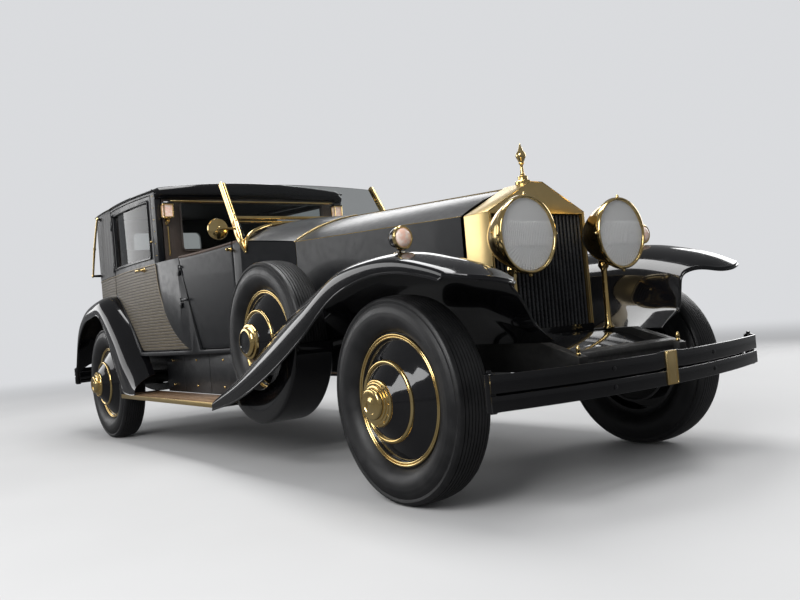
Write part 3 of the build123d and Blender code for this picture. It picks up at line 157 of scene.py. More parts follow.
def half_width(x):
    """The coachwork's half-width: two long plan arcs and the corner arc at the tail."""
    x = np.asarray(x, float)
    hinge, bend, tail = (HINGE_X, HINGE_HALF), (BEND_X, BEND_HALF), (TAIL_X, TAIL_HALF)
    front = plan_arc((COACH_X, 597), (-655, 742), hinge, x)
    rear = plan_arc(hinge, (-1992.5, 680), bend, x)
    corner = plan_arc(bend, (-2391, 584), tail, np.maximum(x, TAIL_X))
    return np.where(x > HINGE_X, front, np.where(x > BEND_X, rear, corner))


def turn_under(z):
    """How far the side draws in below the belt: a square law of the depth."""
    return SKIRT_IN * (np.clip(BELT - z, 0, 700) / 600)**2


def rail_y(x):
    share = np.clip((1295 - x) / 1000, 0, 1)
    return RAIL_NOSE_HALF + (RAIL_HALF - RAIL_NOSE_HALF) * share


# Grids and solids built from them

def cap(ring, material):
    """A fan that closes a ring of points at its mean."""
    ring = np.asarray(ring)
    return Grid(np.stack([ring, np.broadcast_to(ring.mean(0), ring.shape)]), material, "v")


def turned(profile, centre, axis, material, count=96):
    """A profile of (distance along the axis, radius) turned about an axis through centre."""
    profile, axis = np.asarray(profile, float), unit(np.asarray(axis, float))
    spare = np.array([0, 0, 1.0]) if abs(axis[2]) < 0.9 else np.array([1.0, 0, 0])
    first = unit(np.cross(axis, spare))
    second = np.cross(axis, first)
    angle = np.linspace(0, 2 * np.pi, count, endpoint=False)[:, None]
    ring = np.cos(angle) * first + np.sin(angle) * second
    points = np.asarray(centre, float) + profile[:, None, :1] * axis + profile[:, None, 1:] * ring
    return Grid(points, material, "v")


def circle(radius, count=10):
    angle = np.linspace(0, 2 * np.pi, count, endpoint=False)
    return radius * np.stack([np.cos(angle), np.sin(angle)], -1)


def bar_profile(width, height, corner, count=4):
    """A rectangle with quarter-circle corners."""
    angle = np.linspace(0, np.pi / 2, count)
    quarter = corner * np.stack([np.cos(angle), np.sin(angle)], -1)
    parts = []
    for k, (sx, sy) in enumerate(((1, 1), (-1, 1), (-1, -1), (1, -1))):
        turn = k * np.pi / 2
        spun = quarter @ np.array([[math.cos(turn), math.sin(turn)], [-math.sin(turn), math.cos(turn)]])
        parts.append(spun + [sx * (width / 2 - corner), sy * (height / 2 - corner)])
    return np.concatenate(parts)


def soften(points, times):
    """Rounds a sheet's sections: each inner point takes a quarter of both neighbours in its row."""
    points = np.array(points)
    for _ in range(times):
        points[:, 1:-1] = (points[:, :-2] + 2 * points[:, 1:-1] + points[:, 2:]) / 4
    return points


def swept(path, profile, material, up=(0, 0, 1), closed=False, scale=None):
    """A closed profile carried along a path: first column across the path, second towards up."""
    path, profile = np.asarray(path, float), np.asarray(profile, float)
    if closed:
        tangent = unit(np.roll(path, -1, 0) - np.roll(path, 1, 0))
    else:
        tangent = unit(np.gradient(path, axis=0))
    side = unit(np.cross(tangent, np.asarray(up, float)))
    rise = np.cross(side, tangent)
    size = np.ones(len(path)) if scale is None else np.asarray(scale, float)
    shape = profile[None] * size[:, None, None]
    points = path[:, None] + shape[..., :1] * side[:, None] + shape[..., 1:] * rise[:, None]
    if closed:
        return [Grid(points, material, "uv")]
    return [Grid(points, material, "v"), cap(points[0], material), cap(points[-1], material)]


def rod(start, end, count, profile, material, up=(0, 0, 1)):
    """A profile carried along a straight line in even steps."""
    return swept(np.linspace(start, end, count), profile, material, up)


def between(first, last, rows):
    """Even steps from one array of values or points to another, as rows."""
    share = np.linspace(0, 1, rows).reshape(-1, *(1,) * np.ndim(first))
    return first * (1 - share) + last * share


def domes(centres, normals, radius, height, material, sides=8):
    """Small domed heads, one on each centre, stood along its normal; each is six rings of points."""
    centres, normals = np.atleast_2d(centres).astype(float), np.atleast_2d(normals).astype(float)
    normals = unit(np.broadcast_to(normals, centres.shape))
    spare = np.where(np.abs(normals[:, 2:]) < 0.9, [[0, 0, 1.0]], [[1.0, 0, 0]])
    first = unit(np.cross(normals, spare))
    second = np.cross(normals, first)
    angle = np.linspace(0, 2 * np.pi, sides, endpoint=False)
    ring = np.cos(angle)[:, None] * first[:, None] + np.sin(angle)[:, None] * second[:, None]
    shape = np.array([[0, -0.3], [1, -0.3], [1, 0.25], [0.8, 0.7], [0.45, 0.94], [0, 1]])
    points = (centres[:, None, None] + radius * shape[:, 0][None, :, None, None] * ring[:, None]
              + height * shape[:, 1][None, :, None, None] * normals[:, None, None])
    rows = points.reshape(-1, sides, 3)
    keep = np.ones((len(rows) - 1, sides), bool)
    keep[len(shape) - 1::len(shape)] = False
    return Grid(rows, material, "v", keep)


def thick(points, depth, material, inside=None, keep=None):
    """A sheet of even depth: the given face, its offset along the face's own normals, and the rims."""
    points = np.asarray(points, float)
    du, dv = np.gradient(points, axis=0), np.gradient(points, axis=1)
    normal = unit(np.cross(du, dv))
    back = points - depth * normal
    inside = inside or material
    return [
        Grid(points, material, "", keep),
        Grid(back[:, ::-1], inside, "", None if keep is None else keep[:, ::-1]),
        Grid(np.stack([points[0], back[0]]), material),
        Grid(np.stack([points[-1], back[-1]]), material),
        Grid(np.stack([points[:, 0], back[:, 0]]), material),
        Grid(np.stack([points[:, -1], back[:, -1]]), material),
    ]


def block(low, high, material):
    """A plain rectangular solid as six grids, to be bevelled by its piece."""
    low, high = np.asarray(low, float), np.asarray(high, float)
    corners = np.array([[x, y, z] for x in (0, 1) for y in (0, 1) for z in (0, 1)])
    p = (low + corners * (high - low)).reshape(2, 2, 2, 3)
    faces = (p[0], p[1], p[:, 0], p[:, 1], p[:, :, 0], p[:, :, 1])
    return [Grid(face, material) for face in faces]


def mesh_object(name, grids, weld=0.02, toward=None):
    """An object from grids: quads between neighbours, doubles welded, faces turned outwards or one way."""
    materials, corners, faces, slots, start = [], [], [], [], 0
    for grid in grids:
        points = np.asarray(grid.points, float)
        rows, columns = points.shape[:2]
        i = np.arange(rows if "u" in grid.wrap else rows - 1)
        j = np.arange(columns if "v" in grid.wrap else columns - 1)
        i, j = np.meshgrid(i, j, indexing="ij")
        next_i, next_j = (i + 1) % rows, (j + 1) % columns
        quads = np.stack([i * columns + j, next_i * columns + j, next_i * columns + next_j,
                          i * columns + next_j], -1)
        quads = quads[grid.keep] if grid.keep is not None else quads.reshape(-1, 4)
        if grid.material not in materials:
            materials.append(grid.material)
        corners.append(points.reshape(-1, 3))
        faces.append(quads + start)
        slots.append(np.full(len(quads), materials.index(grid.material)))
        start += rows * columns
    corners, faces, slots = np.concatenate(corners) * MM, np.concatenate(faces), np.concatenate(slots)
    mesh = bpy.data.meshes.new(name)
    mesh.vertices.add(len(corners))
    mesh.vertices.foreach_set("co", corners.astype(np.float32).ravel())
    mesh.loops.add(faces.size)
    mesh.loops.foreach_set("vertex_index", faces.ravel().astype(np.int32))
    mesh.polygons.add(len(faces))
    mesh.polygons.foreach_set("loop_start", np.arange(0, faces.size, 4, dtype=np.int32))
    mesh.polygons.foreach_set("material_index", slots.astype(np.int32))
    mesh.update(calc_edges=True)
    for material in materials:
        mesh.materials.append(material)
    tidy = bmesh.new()
    tidy.from_mesh(mesh)
    bmesh.ops.remove_doubles(tidy, verts=tidy.verts, dist=weld * MM)
    bmesh.ops.dissolve_degenerate(tidy, edges=tidy.edges, dist=1e-6)
    if toward is None:
        bmesh.ops.recalc_face_normals(tidy, faces=tidy.faces)
    tidy.to_mesh(mesh)
    tidy.free()
    if toward is not None:
        facing = np.zeros(len(mesh.polygons) * 3, np.float32)
        mesh.polygons.foreach_get("normal", facing)
        if facing.reshape(-1, 3).sum(0) @ np.asarray(toward, float) < 0:
            mesh.flip_normals()
    return linked(name, mesh)


def linked(name, data):
    """A new object of the scene from its data."""
    made = bpy.data.objects.new(name, data)
    bpy.context.scene.collection.objects.link(made)
    return made


def piece(name, grids, body="car", stands_for=(), bevel=0.0, sharp=35.0, weld=0.02, depth=0.0,
          toward=None):
    """One piece from its grids, with a sheet's depth and a bevel in millimetres, and shading split at edges
    sharper than the angle."""
    made = mesh_object(name, grids, weld, toward)
    finish_edges(made, bevel, sharp, depth)
    return settle(made, body, stands_for)


def finish_edges(made, bevel, sharp, depth=0.0):
    """Gives a sheet its depth, rounds sharp edges, and fixes both in the mesh."""
    if depth:
        solid = made.modifiers.new("depth", "SOLIDIFY")
        solid.thickness = depth * MM
        solid.offset = -1
        solid.use_even_offset = True
    if bevel:
        round_off = made.modifiers.new("edges", "BEVEL")
        round_off.width = bevel * MM
        round_off.segments = 2
        round_off.limit_method = "ANGLE"
        round_off.angle_limit = math.radians(50)
        round_off.use_clamp_overlap = True
    if depth or bevel:
        depsgraph = bpy.context.evaluated_depsgraph_get()
        final = bpy.data.meshes.new_from_object(made.evaluated_get(depsgraph))
        made.modifiers.clear()
        made.data = final
    made.data.shade_smooth()
    made.data.set_sharp_from_angle(angle=math.radians(sharp))


def raise_tail(made):
    """The photograph's roof edge climbs towards the rear: points above the belt rise with the distance behind
    the pillar, and the crown stays."""
    count = len(made.data.vertices)
    points = np.zeros(count * 3, np.float32)
    made.data.vertices.foreach_get("co", points)
    points = points.reshape(-1, 3)
    x, z = points[:, 0] / MM, points[:, 2] / MM
    share = np.clip((PILLAR_X - x) / RISE_RUN, 0, 1) * np.clip((z - BELT) / (ROOF_LOW - BELT), 0, 1)
    points[:, 2] += TAIL_RISE * MM * share * np.clip((ROOF_TOP - z) / (ROOF_TOP - ROOF_LOW), 0, 1)
    made.data.vertices.foreach_set("co", points.ravel())
    made.data.update()


def settle(made, body, stands_for):
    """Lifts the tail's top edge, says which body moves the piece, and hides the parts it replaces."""
    raise_tail(made)
    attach(made, body)
    if stands_for:
        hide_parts(*stands_for)
    return made


def dressed(node, material, bevel=1.5, sharp=35.0):
    """A CAD node's own shape with its triangles merged, its edges rounded and its curves shaded smooth."""
    source = frame["nodes"][node]
    mesh = source.data.copy()
    mesh.name = node + "_dressed"
    work = bmesh.new()
    work.from_mesh(mesh)
    bmesh.ops.remove_doubles(work, verts=work.verts, dist=0.01 * MM)
    bmesh.ops.dissolve_limit(work, angle_limit=math.radians(0.04), verts=work.verts, edges=work.edges)
    bmesh.ops.dissolve_degenerate(work, edges=work.edges, dist=1e-6)
    work.to_mesh(mesh)
    work.free()
    mesh.materials.clear()
    mesh.materials.append(material)
    if "custom_normal" in mesh.attributes:
        mesh.attributes.remove(mesh.attributes["custom_normal"])
    made = linked(node + "_dressed", mesh)
    finish_edges(made, bevel, sharp)
    return settle(made, source["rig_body"], (node,))


# Shader groups shared by the finishes

def new_group(name, inputs, outputs):
    """A shader node group with its sockets made, and its two end nodes."""
    group = bpy.data.node_groups.new(name, "ShaderNodeTree")
    for label, kind, value in inputs:
        socket = group.interface.new_socket(label, in_out="INPUT", socket_type=kind)
        if value is not None:
            socket.default_value = value
    for label, kind in outputs:
        group.interface.new_socket(label, in_out="OUTPUT", socket_type=kind)
    return group, group.nodes.new("NodeGroupInput"), group.nodes.new("NodeGroupOutput")


def node_in(tree, kind, links=(), **settings):
    """A node with its settings, and its inputs linked or set: links is a dict of socket to value."""
    node = tree.nodes.new(kind)
    for key, value in settings.items():
        setattr(node, key, value)
    for key, value in dict(links).items():
        if isinstance(value, bpy.types.NodeSocket):
            tree.links.new(value, node.inputs[key])
        else:
            node.inputs[key].default_value = value
    return node


def sums(tree, operation, *values):
    return node_in(tree, "ShaderNodeMath", dict(enumerate(values)), operation=operation).outputs[0]


def ranged(tree, value, low, high, first=0.0, last=1.0, curve="LINEAR"):
    """A value between two limits, stretched so that it runs from first to last."""
    links = {"Value": value, "From Min": low, "From Max": high, "To Min": first, "To Max": last}
    return node_in(tree, "ShaderNodeMapRange", links, interpolation_type=curve).outputs["Result"]


def noise(tree, where, scale, detail, **more):
    links = {"Vector": where, "Scale": scale, "Detail": detail, **more}
    return node_in(tree, "ShaderNodeTexNoise", links).outputs["Fac"]


def make_cloud_group():
    """Soft blotches: fractal noise stretched between two limits."""
    group, entry, leave = new_group(
        "cloud", [("Vector", "NodeSocketVector", None), ("Scale", "NodeSocketFloat", 5.0),
                  ("Low", "NodeSocketFloat", 0.4), ("High", "NodeSocketFloat", 0.6)],
        [("Mask", "NodeSocketFloat")])
    blotch = noise(group, entry.outputs["Vector"], entry.outputs["Scale"], 5.0)
    mask = ranged(group, blotch, entry.outputs["Low"], entry.outputs["High"], curve="SMOOTHSTEP")
    group.links.new(mask, leave.inputs["Mask"])
    return group


def make_grain_group():
    """Leather or cast grain: cells whose borders sink, broken up by fine noise, and a mask of the sunk borders for
    painted shade.
    """
    group, entry, leave = new_group(
        "grain", [("Vector", "NodeSocketVector", None), ("Scale", "NodeSocketFloat", 300.0)],
        [("Height", "NodeSocketFloat"), ("CreaseShade", "NodeSocketFloat")])
    cells = node_in(group, "ShaderNodeTexVoronoi", {"Vector": entry.outputs["Vector"],
                                                    "Scale": entry.outputs["Scale"]},
                    feature="DISTANCE_TO_EDGE")
    round_top = ranged(group, cells.outputs["Distance"], 0.0, 0.25, curve="SMOOTHSTEP")
    both = sums(group, "MULTIPLY_ADD", noise(group, entry.outputs["Vector"], 900.0, 3.0), 0.25, round_top)
    group.links.new(both, leave.inputs["Height"])
    # the crease output is the mask for painted shade in the sunk cell borders: one less the round tops
    group.links.new(sums(group, "SUBTRACT", 1.0, round_top), leave.inputs["CreaseShade"])
    return group


def make_dust_group():
    """Thin dust: more on faces that look up, broken by noise."""
    group, entry, leave = new_group(
        "dust", [("Vector", "NodeSocketVector", None), ("Amount", "NodeSocketFloat", 0.1)],
        [("Mask", "NodeSocketFloat")])
    geometry = group.nodes.new("ShaderNodeNewGeometry")
    parts = node_in(group, "ShaderNodeSeparateXYZ", {0: geometry.outputs["Normal"]})
    upward = ranged(group, parts.outputs["Z"], -0.2, 1.0, 0.15)
    spread = ranged(group, noise(group, entry.outputs["Vector"], 40.0, 6.0, Roughness=0.7), 0.35, 0.75)
    product = sums(group, "MULTIPLY", upward, spread)
    group.links.new(sums(group, "MULTIPLY", product, entry.outputs["Amount"]), leave.inputs["Mask"])
    return group


CLOUD, GRAIN, DUST = make_cloud_group(), make_grain_group(), make_dust_group()


def clouds(tree, where, scale, low=0.3, high=0.7):
    links = {"Vector": where, "Scale": scale, "Low": low, "High": high}
    return node_in(tree, "ShaderNodeGroup", links, node_tree=CLOUD).outputs["Mask"]


def dust_film(tree, where, amount):
    return node_in(tree, "ShaderNodeGroup", {"Vector": where, "Amount": amount}, node_tree=DUST).outputs["Mask"]


def start_material(name, **constants):
    """An empty Principled material with its constants set, and its tree, shader and object coordinates."""
    material = bpy.data.materials.new(name)
    material.use_nodes = True
    tree = material.node_tree
    shader = tree.nodes["Principled BSDF"]
    for label, value in constants.items():
        shader.inputs[label.replace("_", " ")].default_value = value
    where = tree.nodes.new("ShaderNodeTexCoord").outputs["Object"]
    return material, tree, shader, where


def blend_colour(tree, mask, first, second):
    mix = node_in(tree, "ShaderNodeMix", {"Factor": mask}, data_type="RGBA")
    for index, colour in ((6, first), (7, second)):
        if isinstance(colour, bpy.types.NodeSocket):
            tree.links.new(colour, mix.inputs[index])
        else:
            mix.inputs[index].default_value = (*colour, 1)
    return mix.outputs[2]


def rough_between(tree, mask, low, high):
    return ranged(tree, mask, 0.0, 1.0, low, high)


def bump_from(tree, shader, height, distance):
    bump = node_in(tree, "ShaderNodeBump", {"Height": height, "Distance": distance, "Strength": 1.0})
    tree.links.new(bump.outputs["Normal"], shader.inputs["Normal"])


def coated(name, dark, light, rough, spread, scale=3.0, metallic=0.0, coat=0.0, dust=0.05, bump=0.0,
           bump_scale=160.0, shine=0.5, coat_rough=0.04):
    """A paint or metal: two close tones in soft clouds, uneven polish, a trace of dust, fine waviness."""
    material, tree, shader, where = start_material(name, Metallic=metallic, Coat_Weight=coat,
                                                   Coat_Roughness=coat_rough, Specular_IOR_Level=shine)
    cloud = clouds(tree, where, scale)
    film = dust_film(tree, where, dust)
    tone = blend_colour(tree, cloud, dark, light)
    tree.links.new(blend_colour(tree, film, tone, DUST_COLOUR), shader.inputs["Base Color"])
    fine = clouds(tree, where, scale * 9, 0.3, 0.75)
    polish = rough_between(tree, fine, rough - spread, rough + spread)
    tree.links.new(sums(tree, "MULTIPLY_ADD", film, 0.5, polish), shader.inputs["Roughness"])
    if bump:
        bump_from(tree, shader, noise(tree, where, bump_scale, 2.0), bump)
    return material


def hide(name, dark, light, rough, scale, depth):
    """Leather: grained cells with painted shade in the creases, which leaves the high parts lighter, and clouds of
    tone.
    """
    material, tree, shader, where = start_material(name, Sheen_Weight=0.12)
    grain = node_in(tree, "ShaderNodeGroup", {"Vector": where, "Scale": scale}, node_tree=GRAIN)
    cloud = clouds(tree, where, 4.0, 0.4, 0.6)
    film = dust_film(tree, where, 0.06)
    tone = blend_colour(tree, cloud, dark, light)
    # painted shade: the creases between the grain cells are darkened towards a third of the dark tone
    crease_shaded = blend_colour(tree, sums(tree, "MULTIPLY", grain.outputs["CreaseShade"], 0.6), tone,
                           tuple(c * 0.35 for c in dark))
    tree.links.new(blend_colour(tree, film, crease_shaded, DUST_COLOUR), shader.inputs["Base Color"])
    tree.links.new(rough_between(tree, grain.outputs["Height"], rough + 0.12, rough - 0.05),
                   shader.inputs["Roughness"])
    bump_from(tree, shader, grain.outputs["Height"], depth)
    return material


def cane_finish():
    """Painted cane-work: level tan ribs of one pitch with dark gaps, each rib scored by slanting straws."""
    material, tree, shader, where = start_material("cane_work")
    parts = node_in(tree, "ShaderNodeSeparateXYZ", {0: where})
    pitch = 0.0205

    def ridge(value, length, low, high):
        """A rounded ridge each length: the sine of the place, stretched between two limits."""
        wave = sums(tree, "SINE", sums(tree, "MULTIPLY", value, 2 * math.pi / length))
        return ranged(tree, wave, low, high, curve="SMOOTHSTEP")

    uneven = sums(tree, "MULTIPLY_ADD", noise(tree, where, 30.0, 2.0), 0.0009, parts.outputs["Z"])
    rib = ridge(uneven, pitch, -0.98, -0.30)
    rising, falling = (ridge(sums(tree, "MULTIPLY_ADD", parts.outputs["Z"], slope, parts.outputs["X"]), 0.0105,
                             -0.9, 0.1) for slope in (0.9, -0.9))
    weave = sums(tree, "MULTIPLY", rising, falling)
    height = sums(tree, "MULTIPLY", rib, sums(tree, "MULTIPLY_ADD", weave, 0.35, 0.65))
    cloud = clouds(tree, where, 22.0, 0.25, 0.75)
    straw = blend_colour(tree, cloud, (0.092, 0.071, 0.040), (0.138, 0.108, 0.064))
    tree.links.new(blend_colour(tree, height, (0.026, 0.020, 0.013), straw), shader.inputs["Base Color"])
    tree.links.new(rough_between(tree, height, 0.5, 0.34), shader.inputs["Roughness"])
    bump_from(tree, shader, height, 0.0009)
    return material


def wood_finish():
    """Board wood: long grain along X with each strip its own tone."""
    material, tree, shader, where = start_material("board_wood", Coat_Weight=0.25, Coat_Roughness=0.25)
    stretched = node_in(tree, "ShaderNodeMapping", {"Vector": where, "Scale": (2.2, 34.0, 34.0)})
    rings = noise(tree, stretched.outputs[0], 3.0, 8.0, Distortion=0.8)
    parts = node_in(tree, "ShaderNodeSeparateXYZ", {0: where})
    strip = sums(tree, "FLOOR", sums(tree, "MULTIPLY", parts.outputs["Y"], 1 / 0.029))
    own = node_in(tree, "ShaderNodeTexWhiteNoise", {"W": strip}, noise_dimensions="1D").outputs["Value"]
    tone = blend_colour(tree, own, (0.30, 0.17, 0.085), (0.46, 0.30, 0.17))
    grain = ranged(tree, rings, 0.42, 0.62)
    tree.links.new(blend_colour(tree, sums(tree, "MULTIPLY", grain, 0.7), tone, (0.12, 0.06, 0.03)),
                   shader.inputs["Base Color"])
    tree.links.new(rough_between(tree, grain, 0.32, 0.5), shader.inputs["Roughness"])
    bump_from(tree, shader, rings, 0.0006)
    return material


def rubber_finish():
    """Tyre rubber: near black with fine moulding marks and grey dust caught on the tread."""
    material, tree, shader, where = start_material("tyre_rubber")
    film = dust_film(tree, where, 0.09)
    cloud = clouds(tree, where, 14.0)
    tone = blend_colour(tree, cloud, (0.0055, 0.0056, 0.0064), (0.011, 0.011, 0.012))
    tree.links.new(blend_colour(tree, film, tone, (0.10, 0.092, 0.08)), shader.inputs["Base Color"])
    tree.links.new(rough_between(tree, cloud, 0.38, 0.5), shader.inputs["Roughness"])
    bump_from(tree, shader, noise(tree, where, 450.0, 3.0), 0.0004)
    return material


def clear_glass(name, tint, rough, bend, clear=1.0):
    """Thin window glass: clear, with a slight tint and faint smears in its polish."""
    material, tree, shader, where = start_material(name, Transmission_Weight=clear, IOR=bend,
                                                   Specular_IOR_Level=0.5)
    cloud = clouds(tree, where, 8.0, 0.3, 0.8)
    tree.links.new(rough_between(tree, cloud, rough, rough + 0.03), shader.inputs["Roughness"])
    tree.links.new(blend_colour(tree, cloud, tint, tuple(c * 0.97 for c in tint)), shader.inputs["Base Color"])
    return material


def opal_glass():
    """Pale rose panes of the carriage lamps, cloudy and a little uneven."""
    material, tree, shader, where = start_material("opal_glass", Coat_Weight=0.6)
    cloud = clouds(tree, where, 60.0, 0.35, 0.65)
    tree.links.new(blend_colour(tree, cloud, (0.90, 0.56, 0.44), (0.93, 0.77, 0.67)), shader.inputs["Base Color"])
    tree.links.new(rough_between(tree, cloud, 0.12, 0.3), shader.inputs["Roughness"])
    return material


GLOSS = coated("wing_black", (0.0025, 0.0025, 0.003), (0.004, 0.004, 0.0048), 0.16, 0.04, coat=0.85, dust=0.003,
               shine=0.1)
SATIN = coated("coach_black", (0.0040, 0.0046, 0.0060), (0.0062, 0.0068, 0.0086), 0.36, 0.05, coat=0.08,
               dust=0.01, bump=0.00005, shine=0.42)
BONNET = coated("bonnet_black", (0.0040, 0.0046, 0.0056), (0.0055, 0.0060, 0.0072), 0.34, 0.03, coat=0.45,
                dust=0.01, shine=0.35, coat_rough=0.17)
TAN = coated("border_tan", (0.17, 0.13, 0.075), (0.24, 0.19, 0.115), 0.42, 0.08, scale=9.0)
FRAME_BLACK = coated("frame_black", (0.005, 0.005, 0.005), (0.012, 0.012, 0.012), 0.42, 0.1, scale=8.0,
                     dust=0.10, shine=0.35)
WHEEL_BLACK = coated("wheel_black", (0.003, 0.003, 0.0035), (0.006, 0.006, 0.007), 0.15, 0.05, coat=0.9,
                     dust=0.012, shine=0.1)
SLAT_GREY = coated("shutter_grey", (0.020, 0.021, 0.024), (0.034, 0.036, 0.040), 0.30, 0.06, scale=12.0,
                   metallic=0.35, dust=0.05)
GOLD = coated("gold_bright", (0.70, 0.49, 0.19), (0.84, 0.65, 0.31), 0.13, 0.05, scale=9.0, metallic=1.0,
              dust=0.02, bump=0.00006, bump_scale=300.0)
GOLD_SATIN = coated("gold_satin", (0.74, 0.55, 0.25), (0.79, 0.60, 0.29), 0.29, 0.012, scale=5.0, metallic=1.0,
                    dust=0.003)
MIRROR = coated("mirror_face", (0.80, 0.68, 0.36), (0.9, 0.8, 0.5), 0.08, 0.03, scale=30.0, metallic=1.0,
                dust=0.08)
SILVER = coated("lamp_silver", (0.80, 0.80, 0.80), (0.92, 0.92, 0.92), 0.24, 0.04, scale=9.0, metallic=1.0,
                dust=0.0)
HIDE_ROOF = hide("roof_hide", (0.010, 0.010, 0.011), (0.020, 0.020, 0.022), 0.44, 420.0, 0.0004)
HIDE_SEAT = hide("seat_hide", (0.075, 0.038, 0.022), (0.12, 0.062, 0.036), 0.42, 300.0, 0.0006)
HIDE_DARK = hide("division_hide", (0.035, 0.023, 0.017), (0.055, 0.036, 0.026), 0.46, 300.0, 0.0005)
CANE = cane_finish()
WOOD = wood_finish()
RUBBER = rubber_finish()
GLASS = clear_glass("window_glass", (0.68, 0.71, 0.72), 0.02, 1.18)
SCREEN = clear_glass("screen_glass", (0.93, 0.96, 0.95), 0.01, 1.14)
LENS = clear_glass("lamp_lens", (0.97, 0.97, 0.96), 0.04, 1.4, 0.62)
OPAL = opal_glass()
RESIN = coated("dark_resin", (0.006, 0.006, 0.006), (0.014, 0.012, 0.010), 0.2, 0.06, scale=18.0, coat=0.8)
CORE = coated("radiator_core", (0.006, 0.006, 0.006), (0.014, 0.014, 0.014), 0.7, 0.1, scale=80.0)


# Tyres and wheels

def tyre_profile():
    """A closed tyre section as (outboard distance, radius): ribbed tread, round walls with raised rings."""
    half, bead = 88.0, 258.3
    inner = arc_through((-half + 30, bead + 16), (-half, bead + 72), (-half + 12, 389), np.linspace(0, 1, 16))
    outer = arc_through((half - 12, 389), (half, bead + 76), (42.7, bead + 14), np.linspace(0, 1, 24))
    ring_at = np.exp(-((outer[:, 1] - 372) / 3.0)**2) + np.exp(-((outer[:, 1] - 356) / 2.0)**2)
    outer[:, 0] += 1.2 * ring_at
    pitch, ribs, groove, depth = 15.4, 9, 3.6, 8.0
    rib = np.array([-0.5, -0.5, 0.5, 0.5]) * (pitch - groove)
    across = ((np.arange(ribs)[:, None] - (ribs - 1) / 2) * pitch + rib).ravel()
    crown = WHEEL_Z - 6.5 * (np.abs(across) / 70)**2.6
    tread = np.stack([across, crown - np.tile([depth, 0, 0, depth], ribs)], -1)
    shoulder = np.array([[-79, 400], [-75, 408], [-72, 411]])
    return np.concatenate([[[-half + 34, bead]], inner, shoulder, tread[1:-1], shoulder[::-1] * [-1, 1], outer,
                           [[42.7, bead]]])


def tyre_grids(centre, side):
    """One ribbed tyre, closed round its section and round the wheel."""
    return [turned(tyre_profile(), centre, (0, side, 0), RUBBER, 144)._replace(wrap="uv")]


def bead_ring(plane, radius, size):
    """Half-round bead on a turned profile, from outside to inside, as (outboard distance, radius) points."""
    angle = np.linspace(np.pi / 2, -np.pi / 2, 9)
    return np.stack([plane + size * np.cos(angle), radius + size * np.sin(angle)], -1)


def wheel_grids(centre, side, spare=False):
    """A covered disc wheel: black cones stepped outward between gold beads, with a gold hub."""
    def turn(profile, material):
        return turned(profile, centre, (0, side, 0), material, 112)

    rim = [(-54, 244), (-54, 258), (43, 258), (43, 268), (47, 268)]
    beads_outer = np.concatenate([[(47, 268)], bead_ring(47, 262.5, 5.5), bead_ring(45, 252, 5), [(44, 247)]])
    cone_low = [(44, 247), (40, 244), (44, 236), (60, 212), (78, 186), (89, 168), (92, 165)]
    bead_inner = np.concatenate([[(92, 167)], bead_ring(95, 158, 8.5), [(97, 149)]])
    cone_high = [(97, 151), (100, 148), (118, 124), (132, 106), (138, 97), (141, 94)]
    if spare:
        hub = [(141, 94), (150, 94), (155, 91), (157, 86), (158, 80), (166, 78), (172, 74), (176, 68), (177, 60)]
        face = [(177, 60), (172, 57), (171, 50), (173, 20), (174, 0)]
        parts = [turn(hub, GOLD), turn(face, WHEEL_BLACK)]
    else:
        hub = [(141, 94), (149, 94), (152, 92), (153, 88), (153, 84), (157, 83), (158, 79), (158, 72), (162, 71),
               (164, 66), (164, 63), (178, 62), (182, 59), (184, 54), (184, 40), (181, 37), (181, 22), (183, 19),
               (183, 0)]
        parts = [turn(hub, GOLD)]
    drum = [(-54, 244), (0, 240), (0, 205), (-62, 205), (-62, 193), (-14, 193), (-14, 30), (-14, 0)]
    plain = [(-54, 244), (-10, 240), (-6, 60), (-6, 0)]
    return parts + [turn(rim, WHEEL_BLACK), turn(beads_outer, GOLD), turn(cone_low, WHEEL_BLACK),
                    turn(bead_inner, GOLD), turn(cone_high, WHEEL_BLACK),
                    turn(plain if spare else drum, WHEEL_BLACK)]


def hub_screws(centre, side):
    """Twelve small screw heads round the hub flange."""
    angle = np.arange(12) * np.pi / 6
    ring = np.stack([np.cos(angle) * 88, np.full(12, side * 153.0), np.sin(angle) * 88], -1)
    return domes(ring + centre, (0, side, 0), 3.2, 2.6, GOLD)


def build_wheels():
    """Four road wheels that turn with their bodies, and the two spares."""
    for corner, axle, side in (("front_right", FRONT_AXLE, -1), ("front_left", FRONT_AXLE, 1),
                               ("rear_right", REAR_AXLE, -1), ("rear_left", REAR_AXLE, 1)):
        centre = (axle, side * HALF_TRACK, WHEEL_Z)
        body = "wheel_" + corner
        piece("tyre_" + corner + "_ribbed", tyre_grids(centre, side), body, ("tyre_" + corner,))
        piece("wheel_" + corner + "_cover", wheel_grids(centre, side) + [hub_screws(centre, side)], body,
              ("wheel_" + corner,))
    spares = [((SPARE_X, side * SPARE_HALF, SPARE_Z), side) for side in (-1, 1)]
    tyres = sum((tyre_grids(*spare) for spare in spares), [])
    piece("spare_tyres_ribbed", tyres, "car", ("spare_tyres",))
    wheels = sum((wheel_grids(*spare, spare=True) for spare in spares), [])
    piece("spare_wheels_cover", wheels, "car", ("spare_wheels",))


# Wings

